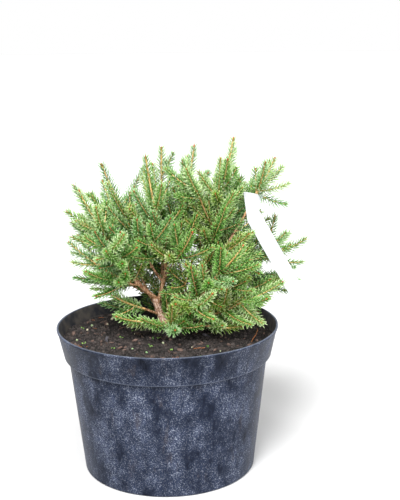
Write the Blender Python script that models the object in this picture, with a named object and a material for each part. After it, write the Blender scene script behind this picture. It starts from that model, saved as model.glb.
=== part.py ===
"""A young birds nest spruce in its nursery pot, at its real size, in metres, with +Z up.

The origin is the middle of the pot's flat underside, and the plant is seen from -Y. The pot holds potting
mix up to a little under its rim. A short leaning trunk stands on the mix and splits into boughs at once.
Each bough ends in one mass of foliage: a stem that adds a shoot a year, with a whorl of side shoots where
each year's growth began. A shoot here is a slim three-sided twig with needles standing out of it. A blank
plastic tag hangs on a bough.
"""

import math
import random
from collections import namedtuple

import bmesh
import bpy
import numpy as np
from mathutils import Matrix, Vector

MM = 0.001
GAP = 0.3 * MM  # between pieces that touch
UP = Vector((0, 0, 1))
SMOOTH_BELOW = math.radians(40)  # an edge that turns more than this is shaded sharp

# The pot is a low nursery container: a round lip, a wide collar, and a body that narrows to its foot.
POT_HEIGHT = 150 * MM
LIP_RADIUS = 112.5 * MM
LIP_HEIGHT = 2 * MM
COLLAR_TOP_RADIUS = 111.6 * MM
COLLAR_FOOT_RADIUS = 105.5 * MM
COLLAR_HEIGHT = 30 * MM
STEP_HEIGHT = 2 * MM  # the slope under the collar, where it steps in to the body
BODY_TOP_RADIUS = 101.3 * MM
BODY_TAPER = math.radians(6.5)
FOOT_CHAMFER = 1.5 * MM
WALL = 1.6 * MM
FLOOR = 2.5 * MM
POT_SIDES = 36
DRAIN_COUNT = 6
DRAIN_SIDES = 10
DRAIN_RADIUS = 5 * MM
DRAIN_CIRCLE = 70 * MM

# The potting mix is level round the trunk and a little uneven further out.
SOIL_TOP = POT_HEIGHT - 14 * MM
SOIL_GAP = 0.4 * MM  # to the pot's wall
SOIL_LEVEL_RADIUS = 50 * MM
SOIL_RING_SHARES = (0.8, 0.62)  # of the mix's radius, where it goes up and down
SOIL_BUMP = 1.2 * MM
SOIL_SEED = 4

# The trunk goes from its flat foot on the mix to its fork. Its lean, like every direction here, is in
# degrees: a bearing from +X, anticlockwise as seen from above, and a rise above the level.
TRUNK_FOOT = (2 * MM, 20 * MM)
TRUNK_LEAN = (180, 68)
TRUNK_LENGTH = 37 * MM
TRUNK_SAG = 2.5 * MM  # how far the middle of a limb hangs below the straight line between its ends
TRUNK_RADIUS = 5.2 * MM
TRUNK_FORK_RADIUS = 3.8 * MM
FLARE = 3.4 * MM  # how much the root flare adds at the foot
FLARE_HEIGHT = 0.22  # the share of the trunk in which the flare dies away
TRUNK_SIDES = 10
TRUNK_RINGS = 6
BOUGH_SIDES = 5
BOUGH_RINGS = 4
LINE_STEPS = 12  # straight pieces that stand for a limb's curve where room is measured

# A shoot of one year, with its needles.
NEEDLE = 8.5 * MM  # how far a needle stands out along its own length
NEEDLE_LEAN = math.radians(57)  # from the twig towards the needle
TIP_LEAN = math.radians(38)  # the same at the tip of a shoot
NEEDLE_SPACING = 12.5 * MM  # along the twig, wider than life: a few broad needles stand for many
BARE_SHARE = 0.2  # of a shoot, at its foot
TIP_SHARE = 0.22  # of a shoot, past its last whole ring
TWIG_RADIUS = 1.35 * MM
TWIG_TIP_RADIUS = 0.8 * MM
SIDE_SHOOT = 46 * MM
SIDE_SHARES = (1.0, 0.8, 0.62)  # a side shoot with no room for its whole length is tried shorter
SIDE_SHOOT_RANGE = (0.85, 1.1)  # a shoot's length before that, as a share of its kind's
SINK = 0.4  # how far its foot is sunk into the older shoot, as a share of the twig's radius
WHORL_ANGLE = math.radians(47)
ANGLE_JITTER = 0.12
SPIN_JITTER = 0.25
SUN_LIFT = 0.16  # how much a side shoot turns up towards the light
WHORL_START = 3.5 * MM  # above the foot of a mass
FORK_SPINS = (0.0, math.pi)  # an older side shoot forks to the right and to the left
FORK_SHARE = 0.9

# Balls along a shoot stand for it and its needles: a share of its length, and a share of the needles' reach.
# Its foot is bare.
BALLS = ((0.0, 0.2), (0.2, 0.2), (0.4, 0.6), (0.55, 1.0), (0.7, 1.0), (0.85, 1.0), (1.0, 0.5))

# Room kept round a mass. The side shoots fill a squarish dome round a centre, which is given from the mix up.
SPACE_GAP = 1.2 * MM  # between the needles of two masses
CROWDED = 17 * MM  # between the tips of two shoots of one mass
CROWN_CENTRE = Vector((24, 22, 75)) * MM
CROWN_REACH = Vector((120, 96, 130)) * MM
CROWN_DROP = 66 * MM  # how far the dome goes on below its centre
DOME_POWER = 3  # 2 would be an ellipsoid
LIMB_CLEAR = 1.0 * MM
SOIL_CLEAR = 2.5 * MM
POT_CLEAR = 2 * MM
TAG_CLEAR = 1 * MM

# A bough grows on another limb, at a share of its length. It reaches out by a bearing, a rise and a length,
# with a sag and the radii of its foot and end. From its end the stem of its mass goes on by a bearing, a rise
# and a length, in so many years, with so many side shoots in a whorl. The first whorl is turned by roll
# degrees. Lengths are in mm.
Bough = namedtuple("Bough", "grows_on share reach sag radii crown years whorl roll")
BOUGHS = {
    "left": Bough("trunk", 1.0, (206, 45, 45), 1, (2.9, 2.0), (194, 62, 96), 2, 4, 20),
    "left_low": Bough("left", 0.55, (227, 24, 29), 2, (1.6, 1.2), (185, 38, 62), 1, 5, 60),
    "left_back": Bough("left", 0.4, (128, 47, 33), 2, (1.6, 1.2), (174, 62, 81), 2, 3, 100),
    "centre": Bough("trunk", 0.8, (328, 75, 44), 1, (2.5, 1.8), (206, 80, 115), 2, 4, 0),
    "inner_left": Bough("centre", 0.6, (165, 58, 36), 1, (1.6, 1.2), (188, 66, 100), 2, 3, 200),
    "front_upper": Bough("centre", 0.7, (297, 44, 33), 1, (1.5, 1.2), (293, 40, 57), 1, 4, 45),
    "back_left": Bough("trunk", 0.66, (128, 48, 51), 2, (2.1, 1.4), (152, 66, 99), 2, 3, 10),
    "back_left_low": Bough("back_left", 0.4, (138, 14, 38), 1, (1.4, 1.1), (146, 33, 63), 1, 4, 0),
    "right": Bough("trunk", 0.42, (351, 49, 68), 5, (2.6, 1.9), (344, 77, 138), 3, 4, 150),
    "right_upper": Bough("right", 0.6, (348, 57, 125), 4, (1.7, 1.25), (0, 62, 38), 1, 5, 75),
    "front_right": Bough("trunk", 0.26, (313, 35, 57), 4, (1.9, 1.4), (330, 49, 79), 2, 4, 30),
    "front_middle": Bough("front_right", 0.5, (296, 30, 26), 0, (1.4, 1.1), (295, 29, 51), 1, 4, 0),
    "front_centre": Bough("right", 0.5, (267, 45, 28), 1, (1.4, 1.1), (244, 26, 48), 1, 4, 20),
    "low_right": Bough("trunk", 0.14, (332, 19, 43), 1, (1.9, 1.4), (332, 26, 105), 2, 4, 0),
    "low_right_front": Bough("low_right", 0.6, (311, 3, 31), 1, (1.4, 1.1), (337, 5, 57), 1, 2, 0),
    "back_right": Bough("trunk", 0.34, (21, 32, 77), 3, (2.1, 1.5), (352, 24, 97), 2, 3, 15),
    "back_right_low": Bough("back_right", 0.5, (58, 3, 32), 1, (1.5, 1.1), (35, 21, 57), 1, 4, 30),
    "back_right_high": Bough("back_right", 0.7, (48, 60, 41), 1, (1.5, 1.1), (32, 62, 81), 2, 3, 60),
    "back": Bough("trunk", 0.6, (79, 68, 57), 3, (2.1, 1.5), (79, 87, 114), 2, 4, 0),
    "back_top": Bough("back", 0.7, (3, 64, 43), 3, (1.5, 1.2), (350, 80, 96), 2, 3, 40),
    "back_high": Bough("back", 0.45, (71, 49, 44), 1, (1.5, 1.2), (77, 54, 77), 2, 2, 0),
    "back_low": Bough("trunk", 0.3, (73, 28, 38), 1, (1.8, 1.2), (84, 35, 66), 1, 4, 0),
    "front_low": Bough("trunk", 0.12, (277, 17, 30), 1, (1.6, 1.2), (275, 12, 49), 1, 4, 0),
    "low_left": Bough("trunk", 0.5, (223, 27, 25), 0, (1.6, 1.2), (205, 30, 47), 1, 3, 0),
    "low_left_front": Bough("trunk", 0.24, (241, 18, 31), 0, (1.5, 1.2), (215, 17, 41), 1, 2, 180),
}
SEED = 7

# The tag is a strip of plastic whose wider head is turned aside and hangs on a loop round the end of a bough.
TAG_BOUGH = "right_upper"
TAG_SHARE = 0.95  # along that bough
TAG_THICKNESS = 0.6 * MM
TAG_WIDTH = 15.5 * MM
TAG_LENGTH = 92 * MM
TAG_HEAD_WIDTH = 20.5 * MM
TAG_HEAD_LENGTH = 22 * MM
TAG_HEAD_TURN = math.radians(31)
TAG_NECK_SLANT = 3.2 * MM  # how much lower its left edge leaves the head, and how much higher its right edge
TAG_TOP_SLANT = 1.7 * MM  # the same for the head's top, the other way round
TAG_LOOP_SHARE = 0.73  # of the head, from the neck up
TAG_HANG = Vector((0.45, -0.24, -0.86))  # the way the strip points
TAG_FACES = Vector((0.1, -0.94, 0.32))  # roughly, before it is squared to the bough
LOOP_THICKNESS = 0.9 * MM
LOOP_WIDTH = 5 * MM
LOOP_SINK = 0.2 * MM  # how far the loop goes into the head
LOOP_SIDES = 16

NEEDLE_GREEN = (0.10, 0.25, 0.07)
BARK_BROWN = (0.26, 0.14, 0.08)
TRUNK_BROWN = (0.30, 0.18, 0.12)
POT_BLACK = (0.018, 0.020, 0.026)
SOIL_BROWN = (0.035, 0.024, 0.018)
TAG_WHITE = (0.86, 0.87, 0.88)


def pointing(bearing, rise):
    """The direction with that bearing and rise, both in degrees."""
    level = Vector((math.cos(math.radians(bearing)), math.sin(math.radians(bearing)), 0))
    return level * math.cos(math.radians(rise)) + UP * math.sin(math.radians(rise))


def material(name, colour, roughness, metallic=0.0):
    made = bpy.data.materials.new(name)
    made.use_nodes = True
    shader = made.node_tree.nodes["Principled BSDF"]
    shader.inputs["Base Color"].default_value = (*colour, 1)
    shader.inputs["Roughness"].default_value = roughness
    shader.inputs["Metallic"].default_value = metallic
    return made


def add_object(name, bm, finish, smooth=False):
    """The bmesh as a new object in the scene. It frees the bmesh."""
    mesh = bpy.data.meshes.new(name)
    bm.to_mesh(mesh)
    bm.free()
    if smooth:
        mesh.shade_smooth()
        mesh.set_sharp_from_angle(angle=SMOOTH_BELOW)
    mesh.materials.append(finish)
    made = bpy.data.objects.new(name, mesh)
    bpy.context.scene.collection.objects.link(made)
    return made


def apply_boolean(target, operation, operand=None, collection=None, solver="EXACT"):
    """Runs one Boolean on target, keeps its result as the mesh, and removes what it was done with."""
    modifier = target.modifiers.new("Join", "BOOLEAN")
    modifier.operation = operation
    modifier.solver = solver
    if collection:
        modifier.operand_type = "COLLECTION"
        modifier.collection = collection
    else:
        modifier.object = operand
    bpy.context.view_layer.update()
    graph = bpy.context.evaluated_depsgraph_get()
    result = bpy.data.meshes.new_from_object(target.evaluated_get(graph))
    target.modifiers.clear()
    before, target.data = target.data, result
    bpy.data.meshes.remove(before)
    result.name = target.name
    for spent in list(collection.objects) if collection else [operand]:
        bpy.data.objects.remove(spent)
    if collection:
        bpy.data.collections.remove(collection)


def turned(profile, sides, about=None):
    """A bmesh turned round Z from (radius, height) points, which run from the axis to it, or round a ring."""
    bm = bmesh.new()
    points = [bm.verts.new((radius, 0, height)) for radius, height in profile]
    edges = [bm.edges.new(pair) for pair in zip(points, points[1:])]
    if profile[0][0] > 0:
        edges.append(bm.edges.new((points[-1], points[0])))
    bmesh.ops.spin(
        bm, geom=points + edges, cent=(0, 0, 0), axis=(0, 0, 1), steps=sides, angle=math.tau, use_merge=True
    )
    bmesh.ops.remove_doubles(bm, verts=bm.verts, dist=0.01 * MM)
    bmesh.ops.recalc_face_normals(bm, faces=bm.faces)
    if about:
        bmesh.ops.transform(bm, matrix=about, verts=bm.verts)
    return bm


def body_radius(height):
    return BODY_TOP_RADIUS - (POT_HEIGHT - COLLAR_HEIGHT - STEP_HEIGHT - height) * math.tan(BODY_TAPER)


def inside_profile():
    """The pot's inner wall from its floor to its mouth, as (radius, height)."""
    collar_foot = POT_HEIGHT - COLLAR_HEIGHT
    return [
        (body_radius(FLOOR) - WALL, FLOOR),
        (BODY_TOP_RADIUS - WALL, collar_foot - STEP_HEIGHT / 2),
        (COLLAR_FOOT_RADIUS - WALL, collar_foot + STEP_HEIGHT / 2),
        (COLLAR_TOP_RADIUS - WALL, POT_HEIGHT - LIP_HEIGHT),
        (COLLAR_TOP_RADIUS - WALL / 2, POT_HEIGHT),
    ]


def inner_radius(height):
    """How far the inner wall is from the axis at that height."""
    radii, heights = zip(*inside_profile())
    return float(np.interp(height, heights, radii))


def make_pot(finish):
    collar_foot = POT_HEIGHT - COLLAR_HEIGHT
    outside = [
        (LIP_RADIUS, POT_HEIGHT),
        (LIP_RADIUS, POT_HEIGHT - LIP_HEIGHT),
        (COLLAR_TOP_RADIUS, POT_HEIGHT - LIP_HEIGHT - WALL / 2),
        (COLLAR_FOOT_RADIUS, collar_foot),
        (BODY_TOP_RADIUS, collar_foot - STEP_HEIGHT),
        (body_radius(FOOT_CHAMFER), FOOT_CHAMFER),
        (body_radius(0) - FOOT_CHAMFER, 0),
    ]
    shell = turned([(0, FLOOR), *inside_profile(), *outside, (0, 0)], POT_SIDES)
    pot = add_object("pot", shell, finish, smooth=True)
    drains = bmesh.new()
    for i in range(DRAIN_COUNT):
        spin = Matrix.Rotation(math.tau * (i + 0.5) / DRAIN_COUNT, 4, "Z")
        bmesh.ops.create_cone(
            drains, cap_ends=True, segments=DRAIN_SIDES, radius1=DRAIN_RADIUS, radius2=DRAIN_RADIUS,
            depth=4 * FLOOR, matrix=spin @ Matrix.Translation((DRAIN_CIRCLE, 0, 0)),
        )
    apply_boolean(pot, "DIFFERENCE", operand=add_object("drains", drains, finish))
    return pot


def make_soil(finish):
    """The potting mix fills the pot to its level, just clear of the wall."""
    rng = random.Random(SOIL_SEED)
    foot, *wall = [(radius - SOIL_GAP, max(height, FLOOR + GAP)) for radius, height in inside_profile()[:3]]
    edge = inner_radius(SOIL_TOP) - SOIL_GAP
    radii = [edge, *(edge * share for share in SOIL_RING_SHARES), SOIL_LEVEL_RADIUS, 0]
    top = [(radius, SOIL_TOP) for radius in radii]
    bm = turned([(0, foot[1]), foot, *wall, *top], POT_SIDES)
    for vertex in bm.verts:
        out = vertex.co.xy.length
        if vertex.co.z > SOIL_TOP - MM and SOIL_LEVEL_RADIUS + MM < out < edge - MM:
            vertex.co.z += rng.uniform(-SOIL_BUMP, SOIL_BUMP)
    return add_object("potting_mix", bm, finish)


def ring(centre, heading, radius, sides, turn=0.0):
    """The corners of one cross-section of a limb or twig."""
    facing = UP.rotation_difference(heading)
    angles = (turn + math.tau * i / sides for i in range(sides))
    return [centre + facing @ Vector((math.cos(a), math.sin(a), 0)) * radius for a in angles]


class Limb:
    """A tapering limb along a smooth curve that sags in the middle, with a flat cut at each end."""

    def __init__(self, start, bearing, rise, length, sag, radii, flare=0.0):
        self.start, self.end = start, start + pointing(bearing, rise) * length
        self.control = (self.start + self.end) / 2 + pointing(bearing, rise - 90) * sag * 2
        self.radius, self.end_radius = radii
        self.flare = flare
        self.line = [self.point(i / LINE_STEPS) for i in range(LINE_STEPS + 1)]

    def point(self, share):
        return self.start * (1 - share) ** 2 + self.control * 2 * share * (1 - share) + self.end * share**2

    def heading(self, share):
        return (self.point(share + 0.01) - self.point(share - 0.01)).normalized()

    def radius_at(self, share):
        flare = self.flare * max(0.0, 1 - share / FLARE_HEIGHT) ** 2
        return self.radius + (self.end_radius - self.radius) * share + flare

    def mesh(self, sides, rings, level_foot=False, grow=0.0):
        """A bmesh of the limb, or of one that is thicker all along by grow."""
        bm = bmesh.new()
        rows = []
        for i in range(rings + 1):
            share = i / rings
            heading = UP if level_foot and i == 0 else self.heading(share)
            corners = ring(self.point(share), heading, self.radius_at(share) + grow, sides)
            rows.append([bm.verts.new(corner) for corner in corners])
        for low, high in zip(rows, rows[1:]):
            for j in range(sides):
                k = (j + 1) % sides
                bm.faces.new((low[j], low[k], high[k], high[j]))
        bm.faces.new(reversed(rows[0]))
        bm.faces.new(rows[-1])
        bmesh.ops.triangulate(bm, faces=bm.faces)
        return bm


def make_limbs():
    """The trunk and every bough as curves, by name."""
    foot = Vector((*TRUNK_FOOT, SOIL_TOP + GAP))
    radii = (TRUNK_RADIUS, TRUNK_FORK_RADIUS)
    limbs = {"trunk": Limb(foot, *TRUNK_LEAN, TRUNK_LENGTH, TRUNK_SAG, radii, FLARE)}
    for name, bough in BOUGHS.items():
        bearing, rise, length = bough.reach
        radii = [radius * MM for radius in bough.radii]
        start = limbs[bough.grows_on].point(bough.share)
        limbs[name] = Limb(start, bearing, rise, length * MM, bough.sag * MM, radii)
    return limbs


def stem_of(name, limbs):
    """The foot and tip of a mass's stem."""
    bearing, rise, length = BOUGHS[name].crown
    foot = limbs[name].end + limbs[name].heading(1) * GAP
    return foot, foot + pointing(bearing, rise) * length * MM


def limb_mesh(name, limbs, grow=0.0):
    if name == "trunk":
        return limbs[name].mesh(TRUNK_SIDES, TRUNK_RINGS, level_foot=True, grow=grow)
    return limbs[name].mesh(BOUGH_SIDES, BOUGH_RINGS, grow=grow)


def make_bough(name, limbs, finish):
    """A bough's node: it is cut off a gap away from the limb that it grows on."""
    made = add_object(f"bough_{name}", limb_mesh(name, limbs), finish, smooth=True)
    socket = limb_mesh(BOUGHS[name].grows_on, limbs, grow=GAP)
    apply_boolean(made, "DIFFERENCE", operand=add_object("socket", socket, finish))
    return made


def distances(points, line):
    """How far each point is from a line of joined straight pieces."""
    starts, ends = np.array(line[:-1]), np.array(line[1:])
    way = ends - starts
    offset = points[:, None, :] - starts
    share = np.clip((offset * way).sum(2) / (way * way).sum(1), 0, 1)
    return np.linalg.norm(offset - share[..., None] * way, axis=2).min(1)


def chain(start, end):
    """The centres and radii of the balls that stand for a shoot and its needles."""
    way, full = end - start, NEEDLE * math.sin(NEEDLE_LEAN) + TWIG_RADIUS
    return np.array([start + way * share for share, _ in BALLS]), np.array([size * full for _, size in BALLS])


class Room:
    """Keeps every mass to a space of its own, clear of the limbs, the pot, the mix and the tag."""

    def __init__(self, limbs, tag):
        self.limbs, self.tag = limbs, tag
        self.centres, self.radii, self.owners = np.empty((0, 3)), np.empty(0), np.empty(0, dtype=int)
        self.order = list(BOUGHS)

    def take(self, name, start, end):
        centres, radii = chain(start, end)
        self.centres = np.vstack([self.centres, centres])
        self.radii = np.append(self.radii, radii)
        self.owners = np.append(self.owners, np.full(len(radii), self.order.index(name)))

    def fits(self, name, start, end):
        """Whether a shoot of that mass, with its needles, touches nothing and crowds no other shoot."""
        out = end - UP * SOIL_TOP - CROWN_CENTRE
        reach = (*CROWN_REACH.xy, CROWN_REACH.z if out.z > 0 else CROWN_DROP)
        if sum(abs(way / full) ** DOME_POWER for way, full in zip(out, reach)) > 1:
            return False
        centres, radii = chain(start, end)
        apart = np.linalg.norm(self.centres[:, None] - centres, axis=2)
        others = self.owners != self.order.index(name)
        if (apart[others] < self.radii[others][:, None] + radii + SPACE_GAP).any():
            return False
        if (apart[~others, -1] < CROWDED).any():
            return False
        for owner, limb in self.limbs.items():
            skip = 2 if owner == name else 0
            if (distances(centres[skip:], limb.line) < limb.radius + radii[skip:] + LIMB_CLEAR).any():
                return False
        out = np.hypot(centres[:, 0], centres[:, 1]) + radii
        low = centres[:, 2] - radii < POT_HEIGHT + POT_CLEAR
        inside = np.array([inner_radius(z) for z in centres[:, 2]]) - POT_CLEAR
        if (centres[:, 2] - radii < SOIL_TOP + SOIL_CLEAR).any() or (low & (out > inside)).any():
            return False
        return not near_tag(centres, radii, self.tag)


def turned_away(heading, angle, spin):
    """The direction at that angle from heading. Spin 0 is to its right, and a quarter turn is above it."""
    side = heading.cross(UP)
    if side.length < 0.2:  # an upright heading has no right of its own
        side = Vector((1, 0, 0))
    side.normalize()
    lift = side.cross(heading).normalized()
    out = side * math.cos(spin) + lift * math.sin(spin)
    return (heading * math.cos(angle) + out * math.sin(angle) + UP * SUN_LIFT).normalized()


def grow_all(limbs, room):
    """The shoots of every mass as lists of (start, end).

    The stems come first. Then all masses grow their side shoots in turn, oldest growth first, so that none of
    them shuts its neighbours in. A side shoot that is over a year old goes on and forks.
    """
    shoots = {name: [] for name in BOUGHS}
    buds = []

    def add(name, start, end):
        shoots[name].append((start, end))
        room.take(name, start, end)

    for name, bough in BOUGHS.items():
        foot, tip = stem_of(name, limbs)
        nodes = [foot.lerp(tip, year / bough.years) for year in range(bough.years + 1)]
        heading = (tip - foot).normalized()
        rng = random.Random(f"{name} {SEED}")
        for year, (start, end) in enumerate(zip(nodes, nodes[1:])):
            add(name, start, end)
            start = start + heading * (WHORL_START if year == 0 else 0)
            for i in range(bough.whorl):
                spin = math.radians(bough.roll) + year + math.tau * i / bough.whorl
                buds.append((year, name, rng, start, heading, bough.years - year, spin, SIDE_SHOOT))
    while buds:
        buds.sort(key=lambda bud: bud[0])
        year, name, rng, foot, heading, age, spin, length = buds.pop(0)
        angle = WHORL_ANGLE + rng.uniform(-ANGLE_JITTER, ANGLE_JITTER)
        way = turned_away(heading, angle, spin + rng.uniform(-SPIN_JITTER, SPIN_JITTER))
        size = length * rng.uniform(*SIDE_SHOOT_RANGE)
        for share in SIDE_SHARES:
            end = foot + way * size * share
            if room.fits(name, foot, end):
                add(name, foot, end)
                break
        else:
            continue
        if age > 1 and share == SIDE_SHARES[0]:
            for spin in FORK_SPINS:
                buds.append((year + 1, name, rng, end, way, 1, spin, length * FORK_SHARE))
    return shoots


def spray(start, end, cut=None):
    """A bmesh of one shoot: a slim three-sided twig that ends in a point, with a needle on each face of it.

    Its foot is bare, and is cut square, or square to the direction in cut.
    """
    way = end - start
    heading = way.normalized()
    count = max(1, round(way.length * (1 - BARE_SHARE - TIP_SHARE) / NEEDLE_SPACING))
    shares = [0.0] + [BARE_SHARE + (1 - BARE_SHARE - TIP_SHARE) * i / count for i in range(count + 1)]
    bm = bmesh.new()
    rows = []
    for i, share in enumerate(shares):
        radius = TWIG_RADIUS + (TWIG_TIP_RADIUS - TWIG_RADIUS) * share
        facing = cut if cut and i == 0 else heading
        corners = ring(start + way * share, facing, radius, 3, turn=i * math.pi / 3)
        rows.append([bm.verts.new(corner) for corner in corners])
    point = bm.verts.new(end)
    bm.faces.new(reversed(rows[0]))
    needled = []
    for i, (low, high) in enumerate(zip(rows, rows[1:])):
        for j in range(3):
            k = (j + 1) % 3
            faces = [bm.faces.new((low[j], low[k], high[j])), bm.faces.new((low[k], high[k], high[j]))]
            if i > 0:
                needled += faces
    for j in range(3):
        needled.append(bm.faces.new((rows[-1][j], rows[-1][(j + 1) % 3], point)))
    for vertex in bmesh.ops.poke(bm, faces=needled, offset=0.0)["verts"]:
        height = (vertex.co - start).dot(heading)
        out = (vertex.co - start - heading * height).normalized()
        lean = TIP_LEAN if height > way.length * (1 - TIP_SHARE) else NEEDLE_LEAN
        vertex.co += (out * math.sin(lean) + heading * math.cos(lean)) * NEEDLE
    return bm


def keep_largest_body(mesh):
    """Drops what a union leaves loose or sealed inside."""
    bm = bmesh.new()
    bm.from_mesh(mesh)
    left, bodies = set(bm.verts), []
    while left:
        body, edge = set(), {left.pop()}
        while edge:
            body |= edge
            edge = {e.other_vert(v) for v in edge for e in v.link_edges} - body
        left -= body
        bodies.append(body)
    bodies.sort(key=len)
    for body in bodies[:-1]:
        bmesh.ops.delete(bm, geom=list(body), context="VERTS")
    bm.to_mesh(mesh)
    bm.free()


def make_foliage(name, limbs, shoots, finish):
    """A mass's node: all its shoots, each sunk into the one that it grows on, joined to one solid."""
    first, *others = shoots
    made = add_object(f"foliage_{name}", spray(*first, cut=limbs[name].heading(1)), finish)
    if not others:
        return made
    sprays = bpy.data.collections.new(f"sprays_{name}")
    bpy.context.scene.collection.children.link(sprays)
    for start, end in others:
        back = (end - start).normalized() * TWIG_RADIUS * SINK
        shoot = add_object("spray", spray(start - back, end), finish)
        bpy.context.scene.collection.objects.unlink(shoot)
        sprays.objects.link(shoot)
    apply_boolean(made, "UNION", collection=sprays, solver="MANIFOLD")
    keep_largest_body(made.data)
    return made


def tag_frame(limbs):
    """Where the tag's strip starts, with its directions along, across and outwards, and the loop's middle."""
    bough = limbs[TAG_BOUGH]
    middle, heading = bough.point(TAG_SHARE), bough.heading(TAG_SHARE)
    outward = (TAG_FACES - heading * TAG_FACES.dot(heading)).normalized()
    down = (TAG_HANG - outward * TAG_HANG.dot(outward)).normalized()
    across = outward.cross(down).normalized()
    loop_radius = bough.radius_at(TAG_SHARE) + GAP + LOOP_THICKNESS
    to_head = -down * math.cos(TAG_HEAD_TURN) + across * math.sin(TAG_HEAD_TURN)
    head = middle + outward * loop_radius
    strip = head - to_head * TAG_HEAD_LENGTH * TAG_LOOP_SHARE
    return {
        "strip": strip, "down": down, "across": across, "outward": outward, "to_head": to_head,
        "middle": middle, "heading": heading, "loop_radius": loop_radius,
    }


def near_tag(centres, radii, tag):
    """Whether any ball is in the tag's way."""
    offset = centres - np.array(tag["strip"])
    down, across, out = (offset @ np.array(tag[way]) for way in ("down", "across", "outward"))
    length, side = TAG_LENGTH + radii, TAG_WIDTH / 2 + radii
    strip = (down > -radii) & (down < length) & (abs(across) < side)
    to_head = np.array(tag["to_head"])
    up = offset @ to_head
    aside = np.linalg.norm(offset - np.outer(up, to_head) - np.outer(out, np.array(tag["outward"])), axis=1)
    head = (up > 0) & (up < TAG_HEAD_LENGTH + TAG_TOP_SLANT) & (aside < TAG_HEAD_WIDTH / 2 + radii)
    return bool(((strip | head) & (abs(out) < TAG_CLEAR + radii)).any())


def make_tag(tag, finish):
    """The blank strip with its turned head, and the loop behind the head."""
    strip, down, across, to_head = tag["strip"], tag["down"], tag["across"], tag["to_head"]
    head_side = to_head.cross(tag["outward"]).normalized()
    top = strip + to_head * TAG_HEAD_LENGTH
    outline = [
        strip + down * TAG_LENGTH - across * TAG_WIDTH / 2,
        strip + down * TAG_LENGTH + across * TAG_WIDTH / 2,
        strip + across * TAG_WIDTH / 2 - down * TAG_NECK_SLANT,
        top + head_side * TAG_HEAD_WIDTH / 2 - to_head * TAG_TOP_SLANT,
        top - head_side * TAG_HEAD_WIDTH / 2 + to_head * TAG_TOP_SLANT,
        strip - across * TAG_WIDTH / 2 + down * TAG_NECK_SLANT,
    ]
    bm = bmesh.new()
    face = bm.faces.new([bm.verts.new(corner) for corner in outline])
    grown = bmesh.ops.extrude_face_region(bm, geom=[face])["geom"]
    front = [part for part in grown if isinstance(part, bmesh.types.BMVert)]
    bmesh.ops.translate(bm, vec=tag["outward"] * TAG_THICKNESS, verts=front)
    bmesh.ops.recalc_face_normals(bm, faces=bm.faces)
    plate = add_object("hang_tag", bm, finish)
    inner, outer, half = tag["loop_radius"] - LOOP_THICKNESS, tag["loop_radius"] + LOOP_SINK, LOOP_WIDTH / 2
    place = Matrix.Translation(tag["middle"]) @ UP.rotation_difference(tag["heading"]).to_matrix().to_4x4()
    loop = turned([(outer, half), (outer, -half), (inner, -half), (inner, half)], LOOP_SIDES, about=place)
    apply_boolean(plate, "UNION", operand=add_object("loop", loop, finish))
    return plate


def main():
    for old in list(bpy.data.objects):
        bpy.data.objects.remove(old)
    needles = material("needles", NEEDLE_GREEN, 0.5)
    bark = material("young_bark", BARK_BROWN, 0.8)
    make_pot(material("pot_plastic", POT_BLACK, 0.45))
    make_soil(material("potting_mix", SOIL_BROWN, 0.95))
    limbs = make_limbs()
    add_object("trunk", limb_mesh("trunk", limbs), material("old_bark", TRUNK_BROWN, 0.85), smooth=True)
    tag = tag_frame(limbs)
    shoots = grow_all(limbs, Room(limbs, tag))
    for name in BOUGHS:
        make_bough(name, limbs, bark)
        make_foliage(name, limbs, shoots[name], needles)
    make_tag(tag, material("tag_plastic", TAG_WHITE, 0.4))


main()
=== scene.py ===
import math
import random
from collections import namedtuple

import bmesh
import bpy
import numpy as np
from mathutils import Matrix, Vector, noise

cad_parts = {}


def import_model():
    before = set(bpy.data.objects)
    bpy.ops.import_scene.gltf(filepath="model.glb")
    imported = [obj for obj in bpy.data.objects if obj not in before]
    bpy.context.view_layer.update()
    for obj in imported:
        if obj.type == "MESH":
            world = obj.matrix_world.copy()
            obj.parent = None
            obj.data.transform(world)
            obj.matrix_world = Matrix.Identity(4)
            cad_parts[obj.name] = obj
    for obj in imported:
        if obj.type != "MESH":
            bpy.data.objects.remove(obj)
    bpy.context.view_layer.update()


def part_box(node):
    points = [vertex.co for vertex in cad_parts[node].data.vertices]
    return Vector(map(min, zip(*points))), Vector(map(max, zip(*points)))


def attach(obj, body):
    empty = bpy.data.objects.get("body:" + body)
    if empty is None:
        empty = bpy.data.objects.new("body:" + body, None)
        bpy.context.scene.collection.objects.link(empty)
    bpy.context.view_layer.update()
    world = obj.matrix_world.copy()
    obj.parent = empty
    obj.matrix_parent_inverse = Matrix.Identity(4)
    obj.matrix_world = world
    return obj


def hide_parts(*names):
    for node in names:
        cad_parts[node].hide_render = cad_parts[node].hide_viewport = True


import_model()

# Nursery pot
# A low round container, injection-moulded in black polypropylene: one thin wall with a small lip, a wide
# collar and drain holes in its floor. It is turned from one profile, its corners are rounded and its holes
# are drilled.
MM = 0.001
POT_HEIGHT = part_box("pot")[1].z
LIP_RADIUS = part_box("pot")[1].x
LIP_HEIGHT = 2 * MM
LIP_STEP = 0.9 * MM  # from the lip in to the collar
COLLAR_HEIGHT = 30 * MM
COLLAR_DRAW = 6.1 * MM  # how much the collar narrows on its way down
COLLAR_TOP_RADIUS = LIP_RADIUS - LIP_STEP
COLLAR_FOOT_RADIUS = COLLAR_TOP_RADIUS - COLLAR_DRAW
COLLAR_FOOT = POT_HEIGHT - COLLAR_HEIGHT
STEP_HEIGHT = 2 * MM
STEP_IN = 4.2 * MM  # from the collar's foot in to the body
BODY_TOP_RADIUS = COLLAR_FOOT_RADIUS - STEP_IN
BODY_TAPER = math.radians(6.5)
FOOT_CHAMFER = 1.5 * MM
WALL = 1.6 * MM
FLOOR = 2.5 * MM
ROUNDING = 0.5 * MM  # of the corners that show
LIP_ROUNDING = 0.3 * MM  # of the lip's lower corner
TURN_STEPS = 144
SAME_PLACE = 0.01 * MM  # points nearer than this are one
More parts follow.
